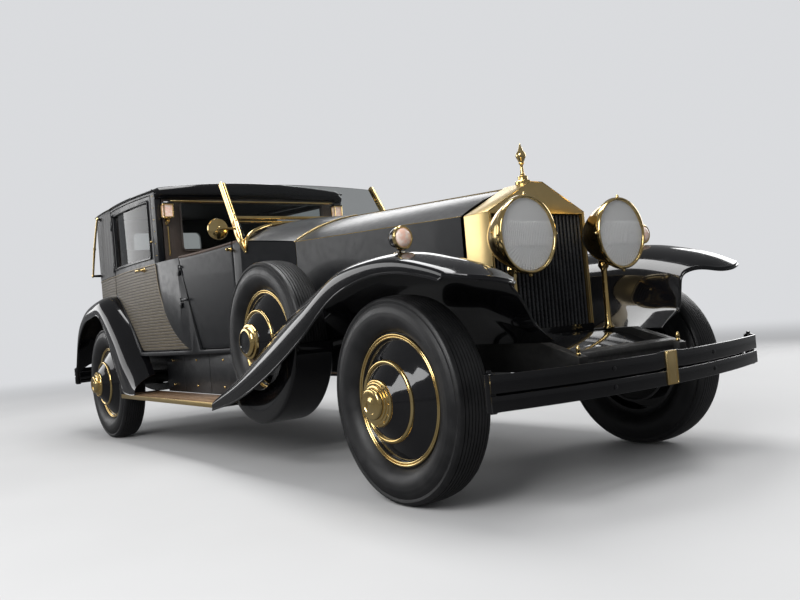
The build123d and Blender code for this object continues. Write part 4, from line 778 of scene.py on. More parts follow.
FRONT_WING = np.array([  # back of the axle, crown, edge height, lip, inner shoulder
    (-610, 838, 836, 830, 652),
    (-585, 850, 842, 826, 660),
    (-500, 900, 871, 838, 688),
    (-440, 924, 898, 860, 694),
    (-350, 951, 926, 886, 700),
    (-150, 993, 968, 918, 760),
    (50, 1000, 972, 914, 772),
    (300, 986, 932, 850, 740),
    (620, 905, 775, 668, 690),
    (960, 766, 606, 508, 640),
    (1320, 588, 460, 380, 560),
    (1640, 440, 354, 316, 440)], float)
WING_EDGE, WING_CROWN, WING_INNER, WING_FOOT = 880.0, 700.0, 470.0, 345.0
NOSE_LIP = 15.0
NOSE = np.array([  # half-width, how far ahead of the axle the wing's front edge lies there
    (345, 440), (400, 447), (450, 458), (500, 446), (546, 430), (580, 462), (640, 550), (700, 580), (760, 572),
    (820, 540), (860, 490), (880, 440)], float)
REAR_WING = np.array([  # back of the front axle, inner, mid y, mid z, edge y, edge z, lip
    (3016, 482, 800, 440, 856, 392, 351),
    (3132, 628, 802, 560, 858, 404, 351),
    (3250, 765, 806, 690, 860, 470, 380),
    (3388, 880, 806, 830, 862, 690, 560),
    (3550, 1000, 802, 972, 862, 880, 800),
    (3705, 1078, 790, 1060, 860, 1002, 930),
    (3900, 1082, 785, 1064, 860, 1004, 930),
    (4153, 1024, 780, 1004, 858, 944, 870),
    (4346, 905, 770, 884, 856, 790, 700),
    (4510, 570, 760, 540, 850, 470, 405)], float)


def front_wing_rows(x):
    """Crown, edge, lip and inner shoulder heights at each x, with the frame's line for the foot."""
    crown, edge, lip, inner = smooth_through(FRONT_WING[:, 0], FRONT_WING[:, 1:], FRONT_AXLE - x).T
    foot_y = rail_y(x) + 25.3
    return crown, edge, lip, inner, foot_y, np.minimum(inner - 10, 604.7)


def front_wing_height(x, y):
    """Height of the wing's arch at x and half-width y: the circle through its edge, crown and shoulder."""
    shape = np.broadcast(x, y).shape
    x, y = np.broadcast_to(x, shape).ravel(), np.broadcast_to(y, shape).ravel()
    crown, edge, lip, inner, foot_y, foot_z = front_wing_rows(x)
    inner_y = np.maximum(WING_INNER, foot_y + 30)
    cy, cz, radius = circle_through(np.stack([np.full_like(x, WING_EDGE), edge], -1),
                                    np.stack([np.full_like(x, WING_CROWN), crown], -1),
                                    np.stack([inner_y, inner], -1))
    return (cz + np.sqrt(np.maximum(radius**2 - (y - cy)**2, 0))).reshape(shape)


def front_wing_sheet(side):
    """Sections along the car: outer skirt (8 points), arch over the crown (44), inner skirt down to the frame.

    Each line along the wing ends on the nose curve for its own half-width, so the front edge is round."""
    half = np.concatenate([np.full(8, WING_EDGE), WING_EDGE + (WING_INNER - WING_EDGE) * np.linspace(0, 1, 44),
                           WING_INNER + (WING_FOOT - WING_INNER) * np.linspace(0, 1, 12)[1:]])
    reach = FRONT_AXLE + smooth_through(NOSE[:, 0], NOSE[:, 1], half)
    reach[:8] = reach[8] - 26 * np.linspace(1, 0, 9)[:8]**2
    fan_x = 2250.0  # the lines run level up to here, then spread to the nose curve
    even = np.linspace(FRONT_AXLE - FRONT_WING[-1, 0], fan_x, 96)[:, None] + 0 * half
    ahead = fan_x + (reach - fan_x)[None] * np.linspace(0, 1, 30)[1:, None]
    x = np.concatenate([even, ahead])
    crown, edge, lip, inner, foot_y, foot_z = (v.reshape(x.shape) for v in front_wing_rows(x.ravel()))
    inner_y = np.maximum(WING_INNER, foot_y + 30)
    y, z = np.empty_like(x), np.empty_like(x)
    rise = np.linspace(0, 1, 9)[:8]
    y[:, :8] = WING_EDGE + 3.0 * np.sin(np.pi * rise)
    z[:, :8] = lip[:, :8] + rise * (edge - lip)[:, :8]
    y[:, 8:52] = WING_EDGE + (inner_y[:, 8:52] - WING_EDGE) * np.linspace(0, 1, 44)
    z[:, 8:52] = front_wing_height(x[:, 8:52], y[:, 8:52])
    fall = np.linspace(0, 1, 12)[1:]
    y[:, 52:] = inner_y[:, 52:] + (foot_y - inner_y)[:, 52:] * fall
    z[:, 52:] = inner[:, 52:] + (foot_z - inner)[:, 52:] * fall
    sheet = soften(np.stack([x, y, z], -1), 3)
    drop = NOSE_LIP * np.concatenate([rise, np.ones(44), 1 - fall])
    lip_rows = [sheet[-1] + np.stack([0 * drop + 5 * s**0.5, 0 * drop, -drop * s * s], -1)
                for s in (0.25, 0.5, 0.75, 1.0)]
    return np.concatenate([sheet, np.stack(lip_rows)]) * [1, side, 1]


def wing_edge_bead(points, last=1):
    """A round bead along the outer lip of a wing sheet and round its front edge."""
    path = np.concatenate([points[:, 0], points[-1, 1:last]])
    return swept(path, circle(5.0, 10), GLOSS, up=(0.02, 0.3, 1))


def build_front_wings():
    """Each front wing as a sheet opened where the spare stands, its edge bead, and the spare's well."""
    for side, word in SIDES:
        points = front_wing_sheet(side)
        x, y, z = points[..., 0], np.abs(points[..., 1]), points[..., 2]
        in_well = ((x - SPARE_X)**2 + (z - SPARE_Z)**2 < 421**2) & (y > 572) & (y < 796)
        keep = ~(in_well[:-1, :-1] | in_well[1:, :-1] | in_well[:-1, 1:] | in_well[1:, 1:])
        piece("front_wing_" + word, [Grid(points, GLOSS, "", keep)], "car",
              ("front_fender_" + word,), depth=6.0, toward=(0, 0, 1), sharp=50)
        piece("front_wing_bead_" + word, wing_edge_bead(points, 54), "car")
        piece("spare_well_" + word, spare_well(side), "car", sharp=50)


def spare_well(side):
    """The well that the spare stands in: a round channel with soft corners, up to the wing's own surface."""
    turn = np.linspace(np.radians(196), np.radians(357), 90)[:, None]
    corner = np.linspace(0, np.pi / 2, 7)
    across = np.concatenate([[568], 586 - 18 * np.cos(corner), np.linspace(600, 760, 8), 778 + 18 * np.sin(corner),
                             [796]])
    dip = np.concatenate([[-170], -18 * (1 - np.sin(corner)), np.zeros(8), -18 * (1 - np.cos(corner)), [-170]])
    middle_y, half_y = 682.0, 114.0
    shells = []
    for extra in (0.0, -6.0):
        radius = 433 + dip[None] + extra
        x = SPARE_X + radius * np.cos(turn)
        y = middle_y + (across[None] + 0 * x - middle_y) * (1 + extra / half_y)
        z = np.minimum(SPARE_Z + radius * np.sin(turn), front_wing_height(x, y) - 2)
        shells.append(np.stack([x, side * y, z], -1))
    rims = [Grid(np.stack([shells[0][:, k], shells[1][:, k]]), GLOSS) for k in (0, -1)]
    return [Grid(shells[0], GLOSS), Grid(shells[1][:, ::-1], GLOSS)] + rims


def rear_wing_sheet(side):
    """Sections along the car: lip, arch up and in to the body's side."""
    back = np.linspace(REAR_WING[0, 0], REAR_WING[-1, 0], 96)
    inner, mid_y, mid_z, edge_y, edge, lip = smooth_through(REAR_WING[:, 0], REAR_WING[:, 1:], back).T
    x = FRONT_AXLE - back
    skirt = np.linspace(0, 1, 8)
    outer = np.stack([np.broadcast_to(-edge_y[:, None], (len(x), 8)),
                      lip[:, None] + skirt * (edge - lip)[:, None]], -1)
    arch = arc_through(np.stack([-edge_y, edge], -1), np.stack([-mid_y, mid_z], -1),
                       np.stack([np.full(len(x), -700.0), inner], -1), np.linspace(0, 1, 28)[1:])
    in_y = np.minimum(half_width(np.maximum(x, TAIL_X)) - 2, 700)
    shelf = np.stack([np.minimum(-in_y, -600), inner], -1)[:, None]
    section = np.concatenate([outer, arch, shelf], 1)
    points = np.concatenate([np.broadcast_to(x[:, None, None], section.shape[:2] + (1,)), section], -1)
    return soften(points, 14) * [1, -side, 1]


def build_rear_wings():
    """Each rear wing as one sheet with its edge bead."""
    for side, word in SIDES:
        points = rear_wing_sheet(side)
        piece("rear_wing_" + word, [Grid(points, GLOSS)], "car", ("rear_fenders",), depth=6.0,
              toward=(0, 0, 1), sharp=50)
        piece("rear_wing_bead_" + word, wing_edge_bead(points), "car")


# Bonnet and cowl

BONNET_FRONT_SHAPE = (304, 1171.5, 1300, 160, 1246)  # half-width, belt, peak, and the arc's middle point
BONNET_REAR_SHAPE = (431, 1215.5, 1362, 215, 1314)
COWL_FRONT_SHAPE = np.array([431, 1212, 1362, 215, 1314], float)
COWL_BACK_SHAPE = np.array([597, 1262, 1400, 320, 1352], float)


def hood_section(x, half, belt, peak, mid_y, mid_z, count=40):
    """Half a hood section from the centre to the belt as an arc in the cross plane."""
    flat = arc_through((0, peak), (-mid_y, mid_z), (-half, belt), np.linspace(0, 1, count))
    return np.concatenate([np.full((count, 1), x), flat], 1)


def build_bonnet():
    """Each half of the bonnet: a curved top and a flat riveted side with its rod and two latches."""
    front_half, rear_half = BONNET_FRONT_SHAPE[0], BONNET_REAR_SHAPE[0]
    top = between(hood_section(BONNET_FRONT, *BONNET_FRONT_SHAPE),
                  hood_section(BONNET_REAR, *BONNET_REAR_SHAPE), 30)
    top[..., 1] = np.minimum(top[..., 1], -4.4)
    front = np.array([[BONNET_FRONT, -front_half, 660], [BONNET_FRONT, -front_half, 1168.0]])
    back = np.array([[BONNET_REAR, -rear_half, 660], [BONNET_REAR, -rear_half, 1212.0]])
    panel = between(between(front[0], back[0], 30), between(front[1], back[1], 30), 12).swapaxes(0, 1)
    along = np.linspace(0.025, 0.975, 30)[:, None]
    rivets = front[1] * (1 - along) + back[1] * along - [0, 0, 26]
    out = unit(np.array([front_half - rear_half, BONNET_REAR - BONNET_FRONT, 0.0]))
    rear_rivets = between(back[0], back[1], 11) + [22, 0, -20]
    hinge = rod((BONNET_FRONT, 0, BONNET_FRONT_SHAPE[2]), (BONNET_REAR, 0, BONNET_REAR_SHAPE[2]), 24,
                circle(5.0, 10), GOLD)
    for side, word in SIDES:
        flip = np.array([1, -side, 1])
        piece("bonnet_top_" + word + "_skin", thick(top * flip, 5.0, BONNET), "bonnet_top_" + word,
              ("bonnet_top_" + word,))
        skin = thick(panel * flip, 5.0, SATIN)
        studs = domes(np.concatenate([rivets, rear_rivets]) * flip, out * flip, 3.6, 2.2, FRAME_BLACK)
        brights = rod(front[1] * flip, back[1] * flip, 24, circle(4.4, 10), GOLD)
        for latch in (back[0] + [60, 0, 60], front[0] + [-60, 0, 60]):
            brights += rod(latch * flip, (latch + out * 16) * flip, 2, circle(6, 10), GOLD)
        piece("bonnet_side_" + word + "_skin", skin + [studs] + brights, "bonnet_side_" + word,
              ("bonnet_side_" + word,))
    piece("bonnet_hinge", hinge, "car")


def build_cowl():
    """The cowl's round hood and sides in one sheet, the dash behind it, and the gold bands at its front."""
    shapes = between(COWL_FRONT_SHAPE, COWL_BACK_SHAPE, 26)
    top = np.stack([hood_section(x, *shape) for x, shape in zip(np.linspace(COWL_FRONT, COACH_X, 26), shapes)])
    belt_line = top[:, -1]
    side_skin = between(belt_line, belt_line * [1, 1, 0] + [0, 0, SILL], 18).swapaxes(0, 1)
    side_skin[..., 1] += turn_under(side_skin[..., 2])
    half = np.concatenate([top, side_skin[:, 1:]], 1)
    whole = np.concatenate([half[:, ::-1], half[:, 1:] * [1, -1, 1]], 1)
    grids = (thick(whole[:, 17:96], 8.0, BONNET) + thick(whole[:, :18], 8.0, SATIN)
             + thick(whole[:, 95:], 8.0, SATIN))
    piece("cowl_hood", grids, "car", ("cowl",), sharp=45)
    wall = between(whole[0], whole[0] * [1, 1, 0] + [0, 0, SILL], 6).swapaxes(0, 1) - [12, 0, 0]
    piece("cowl_dash", thick(wall * [1, 0.985, 1], 4.0, FRAME_BLACK), "car")
    edge = np.linspace((642, -434, 1216), (642, -434, 940), 14)
    over = hood_section(642, 434, 1216, 1366, 215, 1318, 24)
    for side, word in SIDES:
        flip = np.array([1, -side, 1])
        down = np.concatenate([over, edge[1:]]) * flip
        grids = swept(down, circle(5.5, 10), GOLD_SATIN, up=(1, 0.02, 0.03))
        grids += swept(over * flip - [16, 0, 0], circle(5.5, 10), GOLD_SATIN, up=(1, 0.02, 0.03))
        piece("cowl_band_" + word, grids, "car")


# Coachwork

def side_points(x, z, out=0.0, side=-1):
    """Points of the coachwork's side at arrays of x and z, pushed out by a distance."""
    y = half_width(x) + out - turn_under(z)
    return np.stack([x, side * y, z], -1)


def top_line(x):
    """The open compartment's top edge: level at the pillar, rising to the screen with the power 2.2."""
    return BELT + 35 * (np.clip((np.asarray(x) + 375) / 720, 0, 1))**2.2


def arc_height(start, middle, end, x):
    """Height of the arc through three side-view points at each x."""
    flat = arc_through(start, middle, end, np.linspace(0, 1, 200))
    order = np.argsort(flat[:, 0])
    return np.interp(x, flat[order, 0], flat[order, 1])


DOOR_FRONT = -723.0  # front edge of the rear door's upper part
WINDOW_X, WINDOW_Z = (-1650.0, -777.0), (1290.0, 1662.0)
TOE = ((PILLAR_X, BELT), (-545, 800), (-295, 640))
ARCH = ((-1125, 640), (-1385, 893), (HINGE_X, 1092))


def front_seam(z):
    """Place of the front door's slanting rear seam at a height: 175 mm ahead over 592 mm down."""
    return -375 + (1232 - z) / 592 * 175


def build_front_doors():
    """Each front door: its skin, the hide roll on its top edge, its knob and two hinges."""
    door_front, (hinge_x, hinge_y) = 214.0, FRONT_DOOR_HINGE
    column, row = np.linspace(0, 1, 30)[None], np.linspace(0, 1, 26)[:, None]
    z = DOOR_LOW + (top_line(door_front + (hinge_x - door_front) * column) - DOOR_LOW) * row
    x = door_front + (front_seam(z) + 6 - door_front) * column
    for side, word in SIDES:
        body = "front_door_" + word
        piece(body + "_skin", [Grid(side_points(x, z, 0, side), SATIN)], body, (body,),
              depth=38.0, bevel=2.0, toward=(0, side, 0))
        roll_x = np.linspace(210, -365, 24)
        roll = side_points(roll_x, top_line(roll_x) + 1, -18, side)
        piece(body + "_roll", swept(roll, bar_profile(48, 16, 7, 6), HIDE_SEAT), body)
        knob = turned([(-6, 0), (-6, 15), (2, 15), (4, 11), (14, 8), (20, 11), (27, 11), (31, 6), (32, 0)],
                      (198, side * float(half_width(198.0)), 1226), (0, side, 0), GOLD, 28)
        barrels = sum((hinge_grids(hinge_x, side * hinge_y, z0, front_seam(z0 + 17) + 20 - hinge_x)
                       for z0 in (950.0, 1160.0)), [])
        piece(body + "_fittings", [knob] + barrels, body)


def lever(x, z, way, side):
    """A door handle: a turned boss with a lever that runs along the side."""
    y = float(half_width(x))
    run = np.linspace(0, 1, 12)
    out = y + 8 + 24 * np.sin(np.pi * np.minimum(run, 0.5))
    path = np.stack([x + way * 95 * run, side * out, np.full(12, z)], -1)
    boss = turned([(-2, 0), (-2, 17), (3, 17), (5, 12), (24, 8), (28, 0)], (x, side * y, z), (0, side, 0),
                  GOLD, 24)
    size = np.interp(run, [0, 0.6, 0.9, 1], [0.8, 1.0, 1.1, 0.7])
    return [boss] + swept(path, circle(8.5, 10), GOLD, scale=size)


def hinge_grids(x, y, z, reach):
    """A hinge barrel with its strap along the side."""
    barrel = turned([(3, 0), (3, 5.5), (31, 5.5), (31, 0)], (x, y, z), (0, 0, 1), SATIN, 16)
    run = np.linspace(0, reach, 6)
    path = np.stack([x + run, np.full(6, y), np.full(6, z + 17.0)], -1)
    return [barrel] + swept(path, bar_profile(3.5, 13, 1.5), SATIN)


def build_rear_doors():
    """The door in two grids: its main part round the window, and the toe that curves forward under the seat."""
    x_main = np.concatenate([np.linspace(DOOR_FRONT, WINDOW_X[1], 4), np.linspace(*WINDOW_X[::-1], 30)[1:],
                             np.linspace(WINDOW_X[0], REAR_DOOR_HINGE[0], 4)[1:]])
    arch = np.where(x_main > ARCH[0][0], DOOR_LOW, np.maximum(arc_height(*ARCH, x_main) + 6, DOOR_LOW))
    rows = [between(arch, np.full_like(arch, BELT), 24)]
    for a, b, n in ((BELT, WINDOW_Z[0], 4), (*WINDOW_Z, 12), (WINDOW_Z[1], 1696.0, 3)):
        rows.append(between(np.full_like(arch, a), np.full_like(arch, b), n)[1:])
    z = np.concatenate(rows)
    x = np.broadcast_to(x_main, z.shape)
    mid_z = (z[:-1, :-1] + z[1:, 1:]) / 2
    mid_x = (x[:-1, :-1] + x[1:, 1:]) / 2
    keep = ~((mid_z > WINDOW_Z[0]) & (mid_z < WINDOW_Z[1]) & (mid_x < WINDOW_X[1]) & (mid_x > WINDOW_X[0]))
    x_toe = np.linspace(-303, DOOR_FRONT, 40)
    toe_high = np.maximum(arc_height(*TOE, x_toe - 6), DOOR_LOW + 1)
    toe_high[-1] = BELT
    z_toe = between(np.full_like(x_toe, DOOR_LOW), toe_high, 24)
    for side, word in SIDES:
        body = "rear_door_" + word
        main = Grid(side_points(x, z, 0, side), SATIN, "", keep)
        toe = Grid(side_points(np.broadcast_to(x_toe, z_toe.shape), z_toe, 0, side), SATIN)
        piece(body + "_skin", [main, toe], body, (body,), depth=38.0, bevel=1.5,
              toward=(0, side, 0))
        build_cane(word, side, x_main, arch, x_toe, toe_high)
        build_window_trim(word, side)


def build_cane(word, side, x_main, arch, x_toe, toe_high):
    """Cane-work laid on the door below the belt, with tan border strips."""
    belt = BELT - 6
    z = between(arch + 4, np.full_like(arch, belt), 30)
    main = thick(side_points(np.broadcast_to(x_main, z.shape), z, 2.2, side), 2.0, CANE)
    high = np.minimum(toe_high - 10, belt)
    z_toe = between(np.full_like(x_toe, 650.0), np.maximum(high, 651.0), 24)
    toe = thick(side_points(np.broadcast_to(x_toe, z_toe.shape), z_toe, 2.2, side), 2.0, CANE)
    piece("cane_panel_" + word, main + toe, "rear_door_" + word)
    border_x = np.concatenate([x_main[::-1], x_toe[::-1][1:]])
    border_z = np.concatenate([np.full_like(x_main, belt), np.maximum(toe_high - 8, 650)[::-1][1:]])
    path = side_points(border_x, border_z, 3.5, side)
    piece("cane_border_" + word, swept(path, bar_profile(3, 7, 1.2), TAN, up=(0, 0, 1)),
          "rear_door_" + word)


def window_loop(wider, higher, radius, out, side):
    """A rounded rectangle round the door's window, as a dense closed path on the side of the coachwork."""
    (x0, x1), (z0, z1) = WINDOW_X, WINDOW_Z
    shape = bar_profile(x1 - x0 + 2 * wider, z1 - z0 + 2 * higher, radius, 8) + [(x0 + x1) / 2, (z0 + z1) / 2]
    return dense(side_points(shape[:, 0], shape[:, 1], out, side))


def dense(path, steps=6):
    """More points along each run of a closed path."""
    share = np.arange(steps)[None, :, None] / steps
    return (path[:, None] * (1 - share) + np.roll(path, -1, 0)[:, None] * share).reshape(-1, 3)


def build_window_trim(word, side):
    """What the rear door's window wears: frame, sill, hide surround inside, and the door's brights."""
    body = "rear_door_" + word
    up = (0, side, 0.001)
    grids = swept(window_loop(10, 10, 16, 3, side), bar_profile(6, 14, 2.5), SATIN, up=up, closed=True)
    grids += swept(window_loop(0, 0, 10, -4, side), circle(4, 8), GLOSS, up=up, closed=True)
    sill_x = np.linspace(-770, -1656, 30)
    sill = side_points(sill_x, np.full(30, 1276.0), 6, side)
    grids += swept(sill, bar_profile(12, 10, 4), GLOSS)
    piece("window_trim_" + word, grids, body)
    garnish = swept(window_loop(-6, -6, 10, -38, side), bar_profile(10, 26, 4), HIDE_SEAT, up=up, closed=True)
    piece("window_garnish_" + word, garnish, body)
    handle = lever(-920.0, 1212.0, -1, side)
    hinge_x, hinge_y = REAR_DOOR_HINGE
    barrels = sum((hinge_grids(hinge_x, side * hinge_y, z0, 22) for z0 in (1300.0, 1600.0)), [])
    knob = domes(side_points(np.array([-745.0]), np.array([1388.0]), 0, side), (0, side, 0), 8, 12, GOLD, 12)
    piece("rear_door_" + word + "_fittings", handle + barrels + [knob], body)


def build_tub():
    """Fixed lower panels, sill, floor and the dressed inner structure of the body."""
    dressed("body_tub", SATIN, bevel=1.0)
    x = np.concatenate([np.linspace(-1716, -2420, 50), np.full(14, TAIL_X)])
    y = np.concatenate([half_width(x[:50]), np.linspace(450, 0, 14)])
    behind = x - REAR_AXLE
    low = np.where(x > -2200, 640 + 440 * np.sqrt(np.clip(1 - (behind / 500)**2, 0, 1)), 640.0)
    low = np.where(np.abs(behind) < 480, np.maximum(low, 700), 640.0)
    z = between(low, np.full_like(low, BELT - 4), 20)
    skin_x = np.broadcast_to(x - np.where(x <= TAIL_X, 2.4, 0), z.shape)
    skin_y = np.broadcast_to(y + 2.4, z.shape)
    for side, word in SIDES:
        panel = np.stack([skin_x, side * skin_y, z], -1)
        piece("quarter_cane_" + word, thick(panel, 2.0, CANE), "car")
        path = np.stack([x - 3, side * (y + 4), np.full_like(x, BELT - 6)], -1)
        piece("quarter_border_" + word, swept(path, bar_profile(3, 7, 1.2), TAN), "car")


def build_upper():
    """Hide-covered rear quarters and back, with soft vertical folds, and the front pillars."""
    dressed("upper_body", SATIN, bevel=1.0)
    x = np.concatenate([np.linspace(-1716, -2420, 60), np.full(20, TAIL_X)])
    y = np.concatenate([half_width(x[:60]), np.linspace(455, 322, 20)])
    run = np.concatenate([[0], np.cumsum(np.hypot(np.diff(x), np.diff(y)))])
    z = between(np.full_like(x, BELT + 2), np.full_like(x, ROOF_LOW - 2), 24)
    fold_pitch = 92.0
    out = 3.0 + 2.2 * np.sin(run / fold_pitch * 2 * np.pi)**3 * np.sin(np.pi * (z - BELT) / (ROOF_LOW - BELT))
    normal = np.abs(unit(np.stack([-np.gradient(y), np.gradient(x)], -1)))
    for side, word in SIDES:
        panel = np.stack([x - normal[:, 0] * out, side * (y + normal[:, 1] * out), z], -1)
        piece("quarter_hide_" + word, thick(panel, 2.5, HIDE_ROOF), "car")
        post = side_points(np.full(6, -686.0), np.linspace(1290, 1690, 6), 0.5, side)
        piece("pillar_screws_" + word, [domes(post, (0, side, 0), 5, 3.0, GOLD, 10)], "car")


ROOF_FRONT, ROOF_HALF, ROOF_FOOT = -655.0, 742.0, 1720.6


def roof_arch(y):
    """Height of the roof's crown: an arc across the car that falls 76 mm in 900."""
    radius = (900**2 + 76**2) / (2 * 76)
    return ROOF_TOP - radius + np.sqrt(radius**2 - y**2)


def roof_outline():
    """Left half of the roof's plan from the front centre to the rear centre, 8 mm outside the body."""
    side_x = np.linspace(ROOF_FRONT, -2420, 70)[1:]
    x = np.concatenate([np.full(12, ROOF_FRONT), side_x, np.full(14, TAIL_X - 8)])
    y = np.concatenate([np.linspace(0, ROOF_HALF, 12), half_width(side_x), np.linspace(455, 0, 14)])
    return x, y + 8 * (y > 1)


def build_roof():
    """Crowned roof: height is an arc across, its rim rounded down to the drip edge, with a visor ahead."""
    x, y = roof_outline()
    inward = np.concatenate([[0, 0, 0.02, 0.05, 0.1], np.linspace(0.15, 1.0, 26)])[:, None]
    px = x + (np.clip(x, -2300, -760) - x) * inward
    py = y * (1 - inward)
    soft = 1 - (1 - np.minimum(1, inward / 0.06))**2
    z = np.where(inward == 0, ROOF_LOW + 6, ROOF_LOW + (roof_arch(py) - ROOF_LOW) * soft)
    z[0] = ROOF_FOOT
    for side, word in SIDES:
        sheet = np.stack([px, side * py, np.maximum(z, ROOF_FOOT)], -1)
        low = np.stack([px, side * py, np.full_like(z, ROOF_FOOT)], -1)
        piece("roof_hide_" + word, [Grid(sheet, HIDE_ROOF), Grid(low[[0, -1]], HIDE_ROOF)], "car",
              ("roof",), sharp=60)
        gutter = np.stack([x, side * (y + 2), np.full_like(x, 1725.0)], -1)[11:]
        piece("roof_gutter_" + word, swept(gutter, circle(6, 10), GLOSS), "car")
    across = np.linspace(-ROOF_HALF, ROOF_HALF, 80)
    ends = np.clip((ROOF_HALF - np.abs(across)) / 50, 0, 1)
    crown = 1716 + (roof_arch(across) - 1716) * np.sqrt(1 - (1 - ends)**2)
    low_line = 1672 - 10 * (across / ROOF_HALF)**2
    share = np.array([0, 0, 0.02, 0.06, 0.14, 0.3, 0.5, 0.72, 0.9, 1.0, 0.98])[:, None]
    ahead = np.array([-700, -676, -662, -650, -641, -634, -632, -635, -641, -650, -664.0])[:, None]
    ahead = ahead - 10 * (1 - ends)**2
    height = crown + 2 - share * (crown - low_line)
    visor = np.stack([ahead, across + 0 * height, height], -1)
    piece("roof_visor", thick(visor, 4.0, GLOSS), "car", sharp=70)


def build_division():
    """Brown hide wall behind the driver with its window frame, a gold rail above and a gold sill."""
    dressed("division_wall", HIDE_DARK, bevel=1.5)
    front = -658.0
    window = bar_profile(1132, 332, 30, 8)
    loop = dense(np.stack([np.full(len(window), front + 3), window[:, 0], window[:, 1] + 1480], -1), 8)
    frame_trim = swept(loop, bar_profile(8, 20, 3), HIDE_DARK, up=(1, 0.001, 0), closed=True)
    piece("division_window_frame", frame_trim, "car")
    rail = rod((front + 24, -640, 1650), (front + 24, 640, 1650), 20, circle(7.5, 12), GOLD)
    sill = rod((front + 12, -600, 1262), (front + 12, 600, 1262), 20, bar_profile(18, 12, 4), GOLD)
    piece("division_brightwork", rail + sill, "car")


def square_rings(centre, rows, material):
    """A four-sided turned shape: rings of (height, half length, half width) with soft corners."""
    rings = [np.concatenate([bar_profile(2 * a, 2 * b, min(4, 0.4 * a), 3), np.full((12, 1), z)], -1)
             for z, a, b in rows]
    rings = np.array(rings) + centre
    return [Grid(rings, material, "v"), cap(rings[0], material), cap(rings[-1], material)]


def build_lanterns():
    """Square carriage lamps: gold frame, opal panes, a stepped black cap and a turned drop on a bracket."""
    for side, word in SIDES:
        centre = np.array([-620.0, side * 672.0, 1580.0])
        grids = square_rings(centre, [(-38, 23, 29), (38, 23, 29)], OPAL)
        for sx in (-1, 1):
            for sy in (-1, 1):
                foot = centre + [sx * 25, sy * 31, -44]
                grids += rod(foot, foot + [0, 0, 88], 2, circle(4.2, 8), GOLD, (1, 0, 0))
        grids += square_rings(centre, [(-47, 25, 31), (-46, 30, 36), (-40, 30, 36), (-38, 26, 32)], GOLD)
        grids += square_rings(centre, [(38, 26, 32), (40, 31, 37), (45, 31, 37), (46, 28, 34)], GOLD)
        grids += square_rings(centre, [(46, 33, 39), (52, 33, 39), (56, 27, 32), (62, 24, 28), (70, 10, 12),
                                       (72, 7, 8)], GLOSS)
        drop = [(-46, 0), (-46, 24), (-52, 26), (-58, 15), (-64, 9), (-70, 13), (-76, 9), (-84, 4), (-88, 0)]
        grids.append(turned(drop, centre, (0, 0, 1), GOLD, 20))
        curl = np.linspace(0, 1.5 * np.pi, 22)
        arm = centre + np.stack([-30 - 14 * np.sin(curl) * (1 - curl / 8), 0 * curl,
                                 -78 + 16 * np.cos(curl) * (1 - curl / 8)], -1)
        grids += swept(arm, circle(4.5, 8), GOLD, up=(0, 1, 0))
        grids += rod((-655, side * 662, 1482), (-655, side * 662, 1282), 8, bar_profile(9, 5, 2), GOLD, (1, 0, 0))
        piece("carriage_lamp_" + word, grids, "car", ("carriage_lamps",), sharp=30)


# Windscreen

FOOT_X, FOOT_HALF, FOOT_Z = 257.0, 575.0, 1272.6  # a post's middle line at its foot
RAKE, LEAN = 285.0 / 455.0, 20.0 / 455.0  # how far back and in it goes for each unit of height
PANE_LOW, PANE_HIGH = 1427.0, 211.0  # the main pane's lower edge and its height


def post_point(z, side):
    """Place on a windscreen post's middle line at a height, raked back and leaning in."""
    rise = np.asarray(z, float) - FOOT_Z
    return np.stack([FOOT_X - RAKE * rise, side * (FOOT_HALF - LEAN * rise), rise + FOOT_Z], -1)


def build_screen():
    """Gold posts with brackets that sweep in over the cowl, a double rail, round mirrors and the glass."""
    slant = math.atan(RAKE)
    lean = np.array([math.cos(slant), 0, math.sin(slant)])
    post = np.array([(-17, -13), (-17, 15), (-14, 19), (-9, 20), (-6, 17), (-6, 11), (-3, 8), (0, 13), (4, 15),
                     (7, 12), (9, 12), (12, 14), (16, 13), (19, 9), (20, -11), (16, -16), (-14, -16)], float)
    grids = []
    low_z, bend_z, high_z = 1190, 1395, 1650
    z = np.linspace(low_z, high_z, 30)
    low = np.clip((bend_z - z) / (bend_z - low_z), 0, 1)[:, None]
    for side, _ in SIDES:
        path = post_point(z, side) + low * (np.array([338.0, side * 592.0, low_z]) - post_point(low_z, side))
        path = path + np.sin(np.pi * low) * np.array([28.0, side * 19.0, 0.0])
        shape = post * [side, 1] if side > 0 else post
        grids += swept(path, shape[::side], GOLD, up=tuple(lean),
                       scale=np.interp(z, [low_z, 1225, 1300, high_z], [0.3, 0.62, 0.95, 1.0]))
        grids.append(domes(post_point(np.array([1430.0, 1392.0]), side) + lean * 15, lean, 8, 6, GOLD, 10))
        bend = np.array([(340, 590, 1200), (338, 588, 1234), (330, 570, 1276), (314, 530, 1309), (286, 466, 1337),
                         (248, 385, 1360), (226, 323, 1371), (206, 240, 1384), (198, 150, 1392), (194, 80, 1396),
                         (192, 0, 1398)], float)
        share = np.linspace(0, 10, 60)
        bracket = smooth_through(np.arange(11.0), bend, share) * [1, side, 1]
        grids += swept(bracket, bar_profile(22, 25, 7), GOLD, up=(1, 0, 0.3),
                       scale=np.interp(share, [0, 0.8, 2.2, 5, 10], [0.4, 0.8, 1.1, 0.85, 0.4]))
    for z, wide, high in ((1420, 16, 20), (1394, 12, 11)):
        grids += rod(post_point(z, -1), post_point(z, 1), 30, bar_profile(wide, high, 4.5), GOLD)
    piece("screen_frame", grids, "car", ("windscreen_frame",))
    for side, word in SIDES:
        piece("side_mirror_" + word, mirror_grids(side), "car")
        piece("scuttle_roll_" + word, scuttle_edge(side), "car")
    build_panes()


